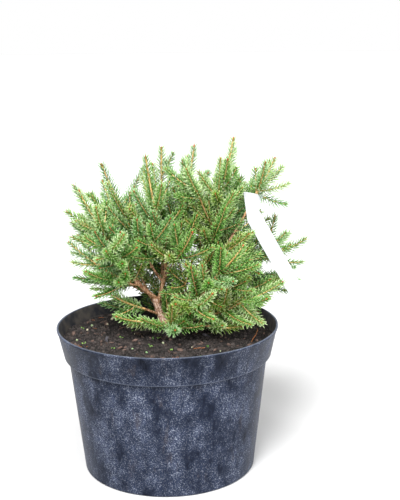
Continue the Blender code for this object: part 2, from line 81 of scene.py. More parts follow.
DRAIN_COUNT = 6
DRAIN_RADIUS = 5 * MM
DRAIN_CIRCLE = 70 * MM
SMOOTH_BELOW = math.radians(40)

# The widths of the marks on the plastic, and of the pale lines on its edges, which are painted highlights.
CLOUD_WIDTH = 20 * MM
GRIT_WIDTH = 1.1 * MM
SPLASH_WIDTH = 14 * MM
FILM_WIDTH = 9 * MM
EDGE_HIGHLIGHT_WIDTH = 0.7 * MM
EDGE_HIGHLIGHT_ABOVE = 0.3 * MM  # the collar's foot
LIP_HIGHLIGHT_WIDTH = 0.9 * MM


def linear(hue):
    """An sRGB hex value as a linear colour."""
    channels = [int(hue[i:i + 2], 16) / 255 for i in (1, 3, 5)]
    return (*(c / 12.92 if c <= 0.04045 else ((c + 0.055) / 1.055) ** 2.4 for c in channels), 1)


def join(node, links):
    """Links outputs to a node's inputs, by name or number. A node stands for its first output in use."""
    for name, source in dict(links).items():
        if isinstance(source, bpy.types.Node):
            source = next(output for output in source.outputs if output.enabled)
        node.id_data.links.new(source, node.inputs[name])


def add(tree, kind, settings=(), links=()):
    """Adds a node. Settings and links are for its inputs, by name or number, or else for its properties."""
    node = tree.nodes.new("ShaderNode" + kind)
    for name, value in dict(settings).items():
        if name == "stops":
            stops = node.color_ramp.elements
            while len(stops) < len(value):
                stops.new(1)
            for stop, (place, hue) in zip(stops, value):
                stop.position, stop.color = place, linear(hue)
        elif isinstance(name, int) or name in node.inputs:
            node.inputs[name].default_value = value
        else:
            setattr(node, name, value)
    join(node, links)
    return node


def new_material(name, roughness, **sockets):
    """A new material's own Principled shader and its tree."""
    made = bpy.data.materials.new(name)
    made.use_nodes = True
    shader = made.node_tree.nodes["Principled BSDF"]
    shader.inputs["Roughness"].default_value = roughness
    for socket, value in sockets.items():
        shader.inputs[socket.replace("_", " ")].default_value = value
    return made, made.node_tree, shader


def as_mesh(name, bm):
    """The bmesh as a mesh. The bmesh itself is freed."""
    mesh = bpy.data.meshes.new(name)
    bm.to_mesh(mesh)
    bm.free()
    return mesh


def in_scene(name, data):
    """A new object of the scene with that mesh, curve, lamp or camera."""
    holder = bpy.data.objects.new(name, data)
    bpy.context.scene.collection.objects.link(holder)
    return holder


def add_piece(name, shape, finishes, nodes=()):
    """A finished mesh or bmesh, as a piece that rides on the one body in place of those CAD nodes."""
    mesh = as_mesh(name, shape) if isinstance(shape, bmesh.types.BMesh) else shape
    for finish in finishes:
        mesh.materials.append(finish)
    piece = in_scene(name, mesh)
    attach(piece, "root")
    if nodes:
        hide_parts(*nodes)


def shaded_smooth(bm, angle=SMOOTH_BELOW):
    """The bmesh with every face smooth and every edge over that angle sharp."""
    for face in bm.faces:
        face.smooth = True
    for edge in bm.edges:
        edge.smooth = len(edge.link_faces) == 2 and edge.calc_face_angle() < angle
    return bm


def turned(profile, steps, closed=False):
    """A bmesh turned round Z from (radius, height) points, from the axis back to it or in a closed ring."""
    bm = bmesh.new()
    points = [bm.verts.new((radius, 0, height)) for radius, height in profile]
    next_points = points[1:] + points[:1] if closed else points[1:]
    edges = [bm.edges.new(pair) for pair in zip(points, next_points)]
    bmesh.ops.spin(
        bm, geom=points + edges, cent=(0, 0, 0), axis=(0, 0, 1), steps=steps, angle=math.tau, use_merge=True
    )
    bmesh.ops.remove_doubles(bm, verts=bm.verts, dist=SAME_PLACE)
    bmesh.ops.recalc_face_normals(bm, faces=bm.faces)
    return bm


def round_corner(bm, radius, height, size):
    """Bevels the ring of edges that goes round Z at that radius and height."""
    near = 2 * SAME_PLACE
    ring = [
        edge for edge in bm.edges
        if all(abs(v.co.z - height) < near and abs(v.co.xy.length - radius) < near for v in edge.verts)
    ]
    bmesh.ops.bevel(bm, geom=ring, offset=size, affect="EDGES", segments=3, profile=0.5, material=-1)


def finished(holder):
    """The mesh that a bevelled curve or an object with modifiers comes to. The object itself is removed."""
    graph = bpy.context.evaluated_depsgraph_get()
    mesh = bpy.data.meshes.new_from_object(holder.evaluated_get(graph))
    bpy.data.objects.remove(holder)
    return mesh


def with_modifiers(mesh, *modifiers):
    """The mesh as it comes out of modifiers, each a type and its settings."""
    holder = in_scene("blank", mesh)
    for kind, settings in modifiers:
        modifier = holder.modifiers.new(kind, kind)
        for name, value in settings.items():
            setattr(modifier, name, value)
    return finished(holder)


def body_radius(height):
    """How far the body's outside is from the axis at that height."""
    return BODY_TOP_RADIUS - (COLLAR_FOOT - STEP_HEIGHT - height) * math.tan(BODY_TAPER)


def wall_line(low, inset):
    """The wall from a height up to the collar as (radius, height) points, so far inside its outside."""
    return [
        (body_radius(low) - inset, low),
        (BODY_TOP_RADIUS - inset, COLLAR_FOOT - STEP_HEIGHT / 2),
        (COLLAR_FOOT_RADIUS - inset, COLLAR_FOOT + STEP_HEIGHT / 2),
    ]


def make_pot():
    """The pot's turned and drilled wall. Faces that look inwards have the second material."""
    inside = [
        (0, FLOOR),
        *wall_line(FLOOR, WALL),
        (COLLAR_TOP_RADIUS - WALL, POT_HEIGHT - LIP_HEIGHT),
        (COLLAR_TOP_RADIUS - WALL / 2, POT_HEIGHT),
    ]
    outside = [
        (LIP_RADIUS, POT_HEIGHT),
        (LIP_RADIUS, POT_HEIGHT - LIP_HEIGHT),
        (COLLAR_TOP_RADIUS, POT_HEIGHT - LIP_HEIGHT - WALL / 2),
        (COLLAR_FOOT_RADIUS, COLLAR_FOOT),
        (BODY_TOP_RADIUS, COLLAR_FOOT - STEP_HEIGHT),
        (body_radius(FOOT_CHAMFER), FOOT_CHAMFER),
        (body_radius(0) - FOOT_CHAMFER, 0),
        (0, 0),
    ]
    bm = turned(inside + outside, TURN_STEPS)
    for corner in (inside[-1], outside[0]):
        round_corner(bm, *corner, ROUNDING)
    round_corner(bm, *outside[1], LIP_ROUNDING)
    round_corner(bm, *outside[3], ROUNDING)
    drills = bmesh.new()
    for i in range(DRAIN_COUNT):
        spin = Matrix.Rotation(math.tau * (i + 0.5) / DRAIN_COUNT, 4, "Z")
        bmesh.ops.create_cone(
            drills, cap_ends=True, segments=32, radius1=DRAIN_RADIUS, radius2=DRAIN_RADIUS,
            depth=4 * FLOOR, matrix=spin @ Matrix.Translation((DRAIN_CIRCLE, 0, 0)),
        )
    drill = in_scene("drills", as_mesh("drills", drills))
    drilled = {"object": drill, "operation": "DIFFERENCE"}
    mesh = with_modifiers(as_mesh("pot_wall", bm), ("BOOLEAN", drilled))
    bpy.data.objects.remove(drill)
    bm = bmesh.new()
    bm.from_mesh(mesh)
    for face in bm.faces:
        centre = face.calc_center_median()
        on_wall = face.normal.dot(Vector((*centre.xy, 0))) < 0 and centre.z < POT_HEIGHT - ROUNDING
        on_floor = face.normal.z > 0.9 and centre.z < POT_HEIGHT / 2
        face.material_index = int(on_wall or on_floor)
    return shaded_smooth(bm)


def outside_plastic():
    """Black polypropylene as moulded: satin with a bluish shine, pale dust, scuffs and dried splashes."""
    made, tree, shader = new_material("scuffed_black_polypropylene", 0.4, Specular_IOR_Level=0.05)
    place = add(tree, "TexCoord").outputs["Object"]
    tall_place = add(tree, "Mapping", {"Scale": (1, 1, 0.6)}, {"Vector": place})
    clouds = add(
        tree, "TexNoise", {"Scale": 1 / CLOUD_WIDTH, "Detail": 9, "Roughness": 0.72},
        {"Vector": tall_place},
    )
    plastic = add(
        tree, "ValToRGB", {"stops": [(0.32, "#11151f"), (0.52, "#212839"), (0.72, "#3a4257")]},
        {"Fac": clouds},
    )
    grains = add(
        tree, "TexNoise", {"Scale": 1 / GRIT_WIDTH, "Detail": 5, "Roughness": 0.7}, {"Vector": place}
    )
    specks = add(tree, "MapRange", {"From Min": 0.52, "From Max": 0.72, "To Max": 0.9}, {"Value": grains})
    some = add(tree, "MapRange", {"From Min": 0.4, "From Max": 0.6}, {"Value": clouds})
    dusty = add(tree, "Math", {"operation": "MULTIPLY"}, {0: specks, 1: some})
    speckled = add(tree, "Mix", {"data_type": "RGBA", 7: linear("#b4bac8")}, {0: dusty, 6: plastic})
    splash_place = add(tree, "Mapping", {"Scale": (1, 1, 0.3)}, {"Vector": place})
    splashes = add(
        tree, "TexNoise", {"Scale": 1 / SPLASH_WIDTH, "Detail": 6, "Roughness": 0.7},
        {"Vector": splash_place},
    )
    splashed = add(
        tree, "MapRange", {"From Min": 0.58, "From Max": 0.78, "To Max": 0.6}, {"Value": splashes}
    )
    muddy = add(tree, "Mix", {"data_type": "RGBA", 7: linear("#4d443f")}, {0: splashed, 6: speckled})
    height = add(tree, "SeparateXYZ", {}, {0: place})
    up_the_pot = add(tree, "Math", {"operation": "DIVIDE", 1: POT_HEIGHT}, {0: height.outputs["Z"]})
    # Painted highlights: pale lines along the collar's foot and the top of the lip, where those edges catch
    # light.
    edge = COLLAR_FOOT + EDGE_HIGHLIGHT_ABOVE
    painted_edge_highlights = add(
        tree, "ValToRGB",
        {"stops": [
            (0.0, "#000000"),
            ((edge - EDGE_HIGHLIGHT_WIDTH) / POT_HEIGHT, "#000000"),
            (edge / POT_HEIGHT, "#8c8c8c"),
            ((edge + EDGE_HIGHLIGHT_WIDTH) / POT_HEIGHT, "#000000"),
            (1 - LIP_HIGHLIGHT_WIDTH / POT_HEIGHT, "#000000"),
            (1.0, "#8c8c8c"),
        ]},
        {"Fac": up_the_pot},
    )
    # The plastic with the painted edge highlights laid over it.
    rim = add(tree, "Mix", {"data_type": "RGBA", 7: linear("#8b93a4")}, {0: painted_edge_highlights, 6: muddy})
    dull = add(
        tree, "MapRange", {"From Min": 0.3, "From Max": 0.7, "To Min": 0.25, "To Max": 0.5},
        {"Value": clouds},
    )
    grain = add(tree, "Bump", {"Strength": 0.35, "Distance": 0.15 * MM}, {"Height": grains})
    join(shader, {"Base Color": rim, "Roughness": dull, "Normal": grain})
    return made


def inside_plastic():
    """The same plastic inside, where damp mix has left it nearly black and dull, with a thin brown film."""
    made, tree, shader = new_material("damp_black_polypropylene", 0.55)
    place = add(tree, "TexCoord").outputs["Object"]
    film = add(tree, "TexNoise", {"Scale": 1 / FILM_WIDTH, "Detail": 5}, {"Vector": place})
    plastic = add(tree, "ValToRGB", {"stops": [(0.38, "#1d1f26"), (0.66, "#48433f")]}, {"Fac": film})
    grain = add(tree, "Bump", {"Strength": 0.3, "Distance": 0.2 * MM}, {"Height": film})
    join(shader, {"Base Color": plastic, "Normal": grain})
    return made


add_piece("pot_wall", make_pot(), [outside_plastic(), inside_plastic()], ["pot"])

# Potting mix
# Moist peat and composted bark that fills the pot to a little under its rim. Its body is turned and its top
# is raised into clods. Crumbs, chips and larger pieces of bark, small seedlings, beads of plant feed and dry
# rootlets lie loose on it, a little sunk.
SOIL_TOP = POT_HEIGHT - 14 * MM
SOIL_SEED = 11
SOIL_GAP = 0.4 * MM  # between the mix's body and the wall
SOIL_EDGE_GAP = 2.1 * MM  # from the collar's inside at the lip in to the edge of the mix's top
SOIL_RADIUS = COLLAR_TOP_RADIUS - WALL - SOIL_EDGE_GAP
SOIL_RINGS = 66
SOIL_SIDES = 240
SOIL_SMOOTH_BELOW = math.radians(75)
TRUNK_FOOT = (2 * MM, 20 * MM)
MOUND = 2.2 * MM  # how much the mix is heaped up round the trunk
MOUND_WIDTH = 16 * MM
EDGE_CLEAR = 2 * MM  # of loose pieces

# The widths and heights of the clods.
CLODS = ((26 * MM, 1.1 * MM), (8 * MM, 1.0 * MM), (3 * MM, 0.7 * MM), (1.4 * MM, 0.35 * MM))

# The loose pieces: how many there are, their least and greatest sizes in mm, how far they are lifted out of
# the mix, as a share of the size or as a length, and how much they are flattened along their own axes.
CRUMB_COUNT = 5200
CRUMB_LOG_SIZE = (-0.35, 0.45)  # the mean and the spread of the logarithm of a size in mm
CRUMB_MOST = 2.6
CRUMB_LIFT = 0.25
CRUMB_FLAT = (1.15, 0.95, 0.75)
CHIP_COUNT = 150
CHIP_SIZES = (1.5, 3.6)
CHIP_LIFT = 0.15
CHIP_FLAT = (1.2, 0.7, 0.3)
BARK_SIZES = (3.2, 4.6)
BARK_LIFT = 0.5 * MM
BARK_FLAT = (1.2, 0.8, 0.35)
LEAF_COUNTS = (4, 8)  # on a seedling, from 4 to fewer than 8
LEAF_SPREAD = 1.1  # round the seedling's foot, in mm
LEAF_LIFTS = (0.4, 1.4)  # in mm
LEAF_SIZES = (0.6, 1.15)
LEAF_FLAT = (1.3, 0.8, 0.35)
BEAD_LIFT = 0.9 * MM
BEAD_SIZES = (1.2, 1.6)
BEAD_FLAT = (1, 0.95, 0.92)
LOOSE_BEADS = 9
LOOSE_BEAD_LIFT = 0.5 * MM
LOOSE_BEAD_SIZES = (0.8, 1.2)
ROOTLET_RADIUS = 0.45 * MM
FIBRE_COUNT = 34
FIBRE_STEPS = (4, 9)  # from 4 to fewer than 9
FIBRE_STEP = 1.6  # in mm
FIBRE_LIFTS = (-0.2, 0.7)  # in mm
FIBRE_RADII = (0.16, 0.3)  # in mm
FIBRE_TURN = 0.7  # the most that it turns at a step, in radians
FIBRE_EDGE_CLEAR = 3 * MM

# Where the pieces that stand out lie, in mm from the pot's axis. The rootlet's points also have a height.
BARK_PLACES = ((39, -6), (-62, -12), (-40, 30))
BEAD_PLACES = (
    (-80, 36), (-64, 41), (-84, 24), (-21, -54), (-35, -43), (-5, -24), (-60, 58), (-97, 12), (-92, -10),
)
SEEDLING_PLACES = (
    (-15, -10), (-9, -7), (-19, -32), (-17, -36), (-90, 28), (-36, 18), (-48, -3), (-55, -41), (-84, -22),
    (3, -47), (39, -41), (24, 74), (-30, 76), (66, 44),
)
ROOTLET_PLACES = (
    (93, 11, 1.5), (92, 3, 3.6), (92, -3, 4.2), (89, -15, 3.4), (85, -24, 2.0), (83, -31, 1.0),
    (82, -36, 0.9), (84, -40, 0.4),
)


def ground(x, y):
    """The height of the mix's surface."""
    place = Vector((x, y, 0))
    height = sum(size * noise.noise(place / width + Vector((7, 3, size / MM))) for width, size in CLODS)
    from_trunk = (place.xy - Vector(TRUNK_FOOT)).length
    return SOIL_TOP + height + MOUND * math.exp(-((from_trunk / MOUND_WIDTH) ** 2))


def on_ground(x, y, lift=0.0):
    """A point so far above the mix's surface."""
    return Vector((x, y, ground(x, y) + lift))


def copies(shape, frames, places, tones=None):
    """One mesh of many copies of a small triangulated bmesh, each under its own matrix and at its place.

    With tones, each copy keeps its own as an attribute, to which a point adds how far out along X it is.
    """
    corners = np.array([vertex.co for vertex in shape.verts])
    shape.verts.index_update()
    faces = np.array([[vertex.index for vertex in face.verts] for face in shape.faces])
    shape.free()
    count = len(places)
    points = np.einsum("nij,vj->nvi", frames, corners) + np.asarray(places)[:, None]
    triangles = (faces[None] + np.arange(count)[:, None, None] * len(corners)).reshape(-1)
    mesh = bpy.data.meshes.new("copies")
    mesh.vertices.add(count * len(corners))
    mesh.vertices.foreach_set("co", points.reshape(-1))
    mesh.loops.add(len(triangles))
    mesh.loops.foreach_set("vertex_index", triangles)
    mesh.polygons.add(len(triangles) // 3)
    mesh.polygons.foreach_set("loop_start", np.arange(0, len(triangles), 3))
    mesh.update(calc_edges=True)
    mesh.shade_smooth()
    if tones is not None:
        kept = mesh.attributes.new("tone", "FLOAT", "POINT")
        kept.data.foreach_set("value", (tones[:, None] + corners[None, :, 0]).reshape(-1).astype(np.float32))
    return mesh


def lump(rough, seed):
    """A small rounded lump of 20 faces, about 1 unit in radius."""
    rng = random.Random(seed)
    bm = bmesh.new()
    bmesh.ops.create_icosphere(bm, subdivisions=1, radius=1)
    for vertex in bm.verts:
        vertex.co *= 1 + rng.uniform(-rough, rough)
    return bm


def random_frames(rng, sizes, flat):
    """Matrices that turn a shape at random and size it, after it is flattened along its own axes."""
    frames = []
    for size in sizes:
        axis = Vector((rng.gauss(0, 1), rng.gauss(0, 1), rng.gauss(0, 1))).normalized()
        turn = np.array(Matrix.Rotation(rng.uniform(0, math.tau), 3, axis))
        frames.append(turn * (np.array(flat) * size))
    return np.array(frames)


def random_place(rng):
    """A random point of the mix's surface, a little away from the wall."""
    while True:
        x, y = rng.uniform(-SOIL_RADIUS, SOIL_RADIUS), rng.uniform(-SOIL_RADIUS, SOIL_RADIUS)
        if math.hypot(x, y) < SOIL_RADIUS - EDGE_CLEAR:
            return on_ground(x, y)


def tubes(name, lines, sides_level):
    """A mesh of round tubes, each along a line of (point, radius), from one bevelled curve."""
    curve = bpy.data.curves.new(name, "CURVE")
    curve.dimensions = "3D"
    curve.bevel_depth = MM
    curve.bevel_resolution = sides_level
    curve.use_fill_caps = True
    for line in lines:
        spline = curve.splines.new("POLY")
        spline.points.add(len(line) - 1)
        for knot, (point, radius) in zip(spline.points, line):
            knot.co = (*point, 1)
            knot.radius = radius / MM
    mesh = finished(in_scene(name, curve))
    mesh.shade_smooth()
    return mesh


def make_mix():
    """The mix's body with its raised top."""
    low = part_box("potting_mix")[0].z
    top = [(SOIL_RADIUS * i / SOIL_RINGS, SOIL_TOP) for i in range(SOIL_RINGS, -1, -1)]
    bm = turned([(0, low), *wall_line(low, SOIL_GAP + WALL), *top], SOIL_SIDES)
    for vertex in bm.verts:
        if vertex.co.z > SOIL_TOP - MM:
            vertex.co.z = ground(*vertex.co.xy)
    return shaded_smooth(bm, SOIL_SMOOTH_BELOW)


def mottled(tree, hue, spots, dark, light):
    """The colour as it is darkened and lightened, between those factors, by a noise."""
    shade = add(
        tree, "MapRange", {"From Min": 0.3, "From Max": 0.7, "To Min": dark, "To Max": light},
        {"Value": spots},
    )
    return add(tree, "Mix", {"data_type": "RGBA", "blend_type": "MULTIPLY", 0: 1.0}, {6: hue, 7: shade})


def mix_finish():
    """Damp peat: matt, brown-black, with paler dry patches and a fine crumb."""
    made, tree, shader = new_material("damp_peat", 0.95, Specular_IOR_Level=0.25)
    place = add(tree, "TexCoord").outputs["Object"]
    patches = add(tree, "TexNoise", {"Scale": 1 / (11 * MM), "Detail": 6}, {"Vector": place})
    peat = add(
        tree, "ValToRGB", {"stops": [(0.3, "#120f0e"), (0.5, "#231f1e"), (0.72, "#423a37")]},
        {"Fac": patches},
    )
    grains = add(tree, "TexNoise", {"Scale": 1 / (1.3 * MM), "Detail": 4}, {"Vector": place})
    mixed = mottled(tree, peat, grains, 0.45, 1.6)
    crumbly = add(tree, "Bump", {"Strength": 0.8, "Distance": 0.6 * MM}, {"Height": grains})
    join(shader, {"Base Color": mixed, "Normal": crumbly})
    return made


def plain_finish(name, dark, light, width, roughness):
    """A matt natural stuff whose colour goes between two hues over that width."""
    made, tree, shader = new_material(name, roughness)
    place = add(tree, "TexCoord").outputs["Object"]
    patches = add(tree, "TexNoise", {"Scale": 1 / width, "Detail": 3}, {"Vector": place})
    hue = add(tree, "ValToRGB", {"stops": [(0.35, dark), (0.65, light)]}, {"Fac": patches})
    join(shader, {"Base Color": hue})
    return made


def lay(rng, name, shape, sizes, places, flat, finish):
    """Adds copies of a shape in those sizes and at those places, each turned at random."""
    add_piece(name, copies(shape, random_frames(rng, sizes, flat), places), [finish])


add_piece("mix_surface", make_mix(), [mix_finish()], ["potting_mix"])
rng = random.Random(SOIL_SEED)

# Crumbs of peat
sizes = [min(CRUMB_MOST, rng.lognormvariate(*CRUMB_LOG_SIZE)) * MM for _ in range(CRUMB_COUNT)]
places = [random_place(rng) + Vector((0, 0, CRUMB_LIFT * size)) for size in sizes]
peat = plain_finish("peat_crumbs", "#161313", "#453d3a", 5 * MM, 0.95)
lay(rng, "mix_crumbs", lump(0.25, 1), sizes, places, CRUMB_FLAT, peat)

# Chips of composted bark
sizes = [rng.uniform(*CHIP_SIZES) * MM for _ in range(CHIP_COUNT)]
places = [random_place(rng) + Vector((0, 0, CHIP_LIFT * size)) for size in sizes]
bark_chip = plain_finish("composted_bark", "#33261f", "#6b554c", 6 * MM, 0.85)
lay(rng, "bark_chips", lump(0.3, 2), sizes, places, CHIP_FLAT, bark_chip)

# Larger pieces of grey weathered bark
sizes = [rng.uniform(*BARK_SIZES) * MM for _ in BARK_PLACES]
places = [on_ground(x * MM, y * MM, BARK_LIFT) for x, y in BARK_PLACES]
grey_bark = plain_finish("weathered_bark", "#2e2c30", "#57545a", 3 * MM, 0.9)
lay(rng, "bark_clods", lump(0.3, 3), sizes, places, BARK_FLAT, grey_bark)

# Seedlings, of which only the small leaves show
sizes, places = [], []
for x, y in SEEDLING_PLACES:
    for _ in range(rng.randrange(*LEAF_COUNTS)):
        x_leaf, y_leaf = x * MM + rng.gauss(0, LEAF_SPREAD) * MM, y * MM + rng.gauss(0, LEAF_SPREAD) * MM
        places.append(on_ground(x_leaf, y_leaf, rng.uniform(*LEAF_LIFTS) * MM))
        sizes.append(rng.uniform(*LEAF_SIZES) * MM)
leaf = plain_finish("seedling_leaves", "#3f6526", "#7fa350", 9 * MM, 0.6)
lay(rng, "seedlings", lump(0.15, 4), sizes, places, LEAF_FLAT, leaf)

# Coated beads of plant feed
bead = bmesh.new()
bmesh.ops.create_icosphere(bead, subdivisions=2, radius=1)
places = [on_ground(x * MM, y * MM, BEAD_LIFT) for x, y in BEAD_PLACES]
places += [random_place(rng) + Vector((0, 0, LOOSE_BEAD_LIFT)) for _ in range(LOOSE_BEADS)]
sizes = [rng.uniform(*BEAD_SIZES) * MM for _ in BEAD_PLACES]
sizes += [rng.uniform(*LOOSE_BEAD_SIZES) * MM for _ in range(LOOSE_BEADS)]
coating = plain_finish("coated_feed_beads", "#6f8f60", "#bfb49a", 30 * MM, 0.4)
lay(rng, "feed_beads", bead, sizes, places, BEAD_FLAT, coating)

# One long dry rootlet at the right, and short fibres
rootlets = [[(on_ground(x * MM, y * MM, z * MM), ROOTLET_RADIUS) for x, y, z in ROOTLET_PLACES]]
for _ in range(FIBRE_COUNT):
    point, bearing = random_place(rng), rng.uniform(0, math.tau)
    line = []
    for step in range(rng.randrange(*FIBRE_STEPS)):
        point = point + Vector((math.cos(bearing), math.sin(bearing), 0)) * FIBRE_STEP * MM
        if point.xy.length > SOIL_RADIUS - FIBRE_EDGE_CLEAR:
            break
        place = on_ground(*point.xy, rng.uniform(*FIBRE_LIFTS) * MM)
        line.append((place, rng.uniform(*FIBRE_RADII) * MM))
        bearing += rng.uniform(-FIBRE_TURN, FIBRE_TURN)
    if len(line) > 2:
        rootlets.append(line)
dry_root = plain_finish("dry_rootlets", "#6d4124", "#b06c3a", 7 * MM, 0.8)
add_piece("rootlets", tubes("rootlets", rootlets, 1), [dry_root])

# Trunk and boughs
# A short leaning trunk and the 25 limbs that it splits into, of living wood under thin scaly bark. They are
# round tubes along the source's own curves, drawn into one skin and then raised into plates with cracks
# between them.
UP = Vector((0, 0, 1))
TRUNK_LEAN = (180, 68)  # its bearing and rise
TRUNK_LENGTH = 37 * MM
TRUNK_SAG = 2.5 * MM
TRUNK_RADIUS = 5.2 * MM
TRUNK_FORK_RADIUS = 3.8 * MM
FLARE = 3.4 * MM  # how much wider its foot is
FLARE_HEIGHT = 0.22  # as a share of its length
GAP = 0.3 * MM
LINE_STEPS = 12
SLIM = 0.88  # of the radii that the solids have
TUBE_STEP = 2 * MM
TUBE_STEPS_LEAST = 6
SKIN_GRAIN = 0.5 * MM
PLATE = 2.2 * MM  # the width of a plate of bark
PLATE_STRETCH = 0.55  # a plate is longer up the limb than it is wide
WANDER = 0.9  # how far the cracks wander, in mm
WANDER_WIDTH = 3 * MM
WANDER_SEED = 4
PLATE_LEVEL = 0.6  # from a crack's bottom, 0, to a plate's face, 1, where the skin stays as it was
CRACK_WIDTH = 0.22  # as a share of a plate
CRACK_DEPTH = 0.2 * MM
FLAKE_WIDTH = 0.9 * MM
FLAKE_HEIGHT = 0.1 * MM
FLAKE_SHOWS = 0.25  # the share of the flakes in how raised a point is

# A bough grows on another limb, at a share of its length. It reaches out by a bearing, a rise and a length,
# with a sag and the radii of its foot and end. From its end the stem of its mass goes on by a bearing, a
# rise and a length, in so many years, with so many side shoots in a whorl. The first whorl is turned by roll
# degrees. Lengths are in mm.
Bough = namedtuple("Bough", "grows_on share reach sag radii crown years whorl roll")
BOUGHS = {
    "left": Bough("trunk", 1.0, (206, 45, 45), 1, (2.9, 2.0), (194, 62, 96), 2, 4, 20),
    "left_low": Bough("left", 0.55, (227, 24, 29), 2, (1.6, 1.2), (185, 38, 62), 1, 5, 60),
    "left_back": Bough("left", 0.4, (128, 47, 33), 2, (1.6, 1.2), (174, 62, 81), 2, 3, 100),
    "centre": Bough("trunk", 0.8, (328, 75, 44), 1, (2.5, 1.8), (206, 80, 115), 2, 4, 0),
    "inner_left": Bough("centre", 0.6, (165, 58, 36), 1, (1.6, 1.2), (188, 66, 100), 2, 3, 200),
    "front_upper": Bough("centre", 0.7, (297, 44, 33), 1, (1.5, 1.2), (293, 40, 57), 1, 4, 45),
    "back_left": Bough("trunk", 0.66, (128, 48, 51), 2, (2.1, 1.4), (152, 66, 99), 2, 3, 10),
    "back_left_low": Bough("back_left", 0.4, (138, 14, 38), 1, (1.4, 1.1), (146, 33, 63), 1, 4, 0),
    "right": Bough("trunk", 0.42, (351, 49, 68), 5, (2.6, 1.9), (344, 77, 138), 3, 4, 150),
    "right_upper": Bough("right", 0.6, (348, 57, 125), 4, (1.7, 1.25), (0, 62, 38), 1, 5, 75),
    "front_right": Bough("trunk", 0.26, (313, 35, 57), 4, (1.9, 1.4), (330, 49, 79), 2, 4, 30),
    "front_middle": Bough("front_right", 0.5, (296, 30, 26), 0, (1.4, 1.1), (295, 29, 51), 1, 4, 0),
    "front_centre": Bough("right", 0.5, (267, 45, 28), 1, (1.4, 1.1), (244, 26, 48), 1, 4, 20),
    "low_right": Bough("trunk", 0.14, (332, 19, 43), 1, (1.9, 1.4), (332, 26, 105), 2, 4, 0),
    "low_right_front": Bough("low_right", 0.6, (311, 3, 31), 1, (1.4, 1.1), (337, 5, 57), 1, 2, 0),
    "back_right": Bough("trunk", 0.34, (21, 32, 77), 3, (2.1, 1.5), (352, 24, 97), 2, 3, 15),
    "back_right_low": Bough("back_right", 0.5, (58, 3, 32), 1, (1.5, 1.1), (35, 21, 57), 1, 4, 30),
    "back_right_high": Bough("back_right", 0.7, (48, 60, 41), 1, (1.5, 1.1), (32, 62, 81), 2, 3, 60),
    "back": Bough("trunk", 0.6, (79, 68, 57), 3, (2.1, 1.5), (79, 87, 114), 2, 4, 0),
    "back_top": Bough("back", 0.7, (3, 64, 43), 3, (1.5, 1.2), (350, 80, 96), 2, 3, 40),
    "back_high": Bough("back", 0.45, (71, 49, 44), 1, (1.5, 1.2), (77, 54, 77), 2, 2, 0),
    "back_low": Bough("trunk", 0.3, (73, 28, 38), 1, (1.8, 1.2), (84, 35, 66), 1, 4, 0),
    "front_low": Bough("trunk", 0.12, (277, 17, 30), 1, (1.6, 1.2), (275, 12, 49), 1, 4, 0),
    "low_left": Bough("trunk", 0.5, (223, 27, 25), 0, (1.6, 1.2), (205, 30, 47), 1, 3, 0),
    "low_left_front": Bough("trunk", 0.24, (241, 18, 31), 0, (1.5, 1.2), (215, 17, 41), 1, 2, 180),
}


def pointing(bearing, rise):
    """The direction with that bearing and rise, both in degrees."""
    level = Vector((math.cos(math.radians(bearing)), math.sin(math.radians(bearing)), 0))
    return level * math.cos(math.radians(rise)) + UP * math.sin(math.radians(rise))


def on_curve(start, control, end, share):
    """A point at that share of the smooth curve from start to end that bends towards control."""
    return start * (1 - share) ** 2 + control * 2 * share * (1 - share) + end * share**2


class Limb:
    """A tapering limb along a smooth curve that sags in the middle."""

    def __init__(self, start, bearing, rise, length, sag, radii, flare=0.0):
        self.start, self.end = start, start + pointing(bearing, rise) * length
        self.control = (self.start + self.end) / 2 + pointing(bearing, rise - 90) * sag * 2
        self.length = length
        self.radius, self.end_radius = radii
        self.flare = flare
        self.line = [self.point(i / LINE_STEPS) for i in range(LINE_STEPS + 1)]

    def point(self, share):
        return on_curve(self.start, self.control, self.end, share)

    def heading(self, share):
        return (self.point(share + 0.01) - self.point(share - 0.01)).normalized()

    def radius_at(self, share):
        flare = self.flare * max(0.0, 1 - share / FLARE_HEIGHT) ** 2
        return self.radius + (self.end_radius - self.radius) * share + flare

    def tube(self):
        """The limb as points with radii."""
        steps = max(TUBE_STEPS_LEAST, round(self.length / TUBE_STEP))
        return [(self.point(i / steps), self.radius_at(i / steps) * SLIM) for i in range(steps + 1)]


def make_limbs():
    """The trunk and every bough as curves, by name."""
    foot = Vector((*TRUNK_FOOT, SOIL_TOP + GAP))
    radii = (TRUNK_RADIUS, TRUNK_FORK_RADIUS)
    limbs = {"trunk": Limb(foot, *TRUNK_LEAN, TRUNK_LENGTH, TRUNK_SAG, radii, FLARE)}
    for name, bough in BOUGHS.items():
        bearing, rise, length = bough.reach
        radii = [radius * MM for radius in bough.radii]
        start = limbs[bough.grows_on].point(bough.share)
        limbs[name] = Limb(start, bearing, rise, length * MM, bough.sag * MM, radii)
    return limbs


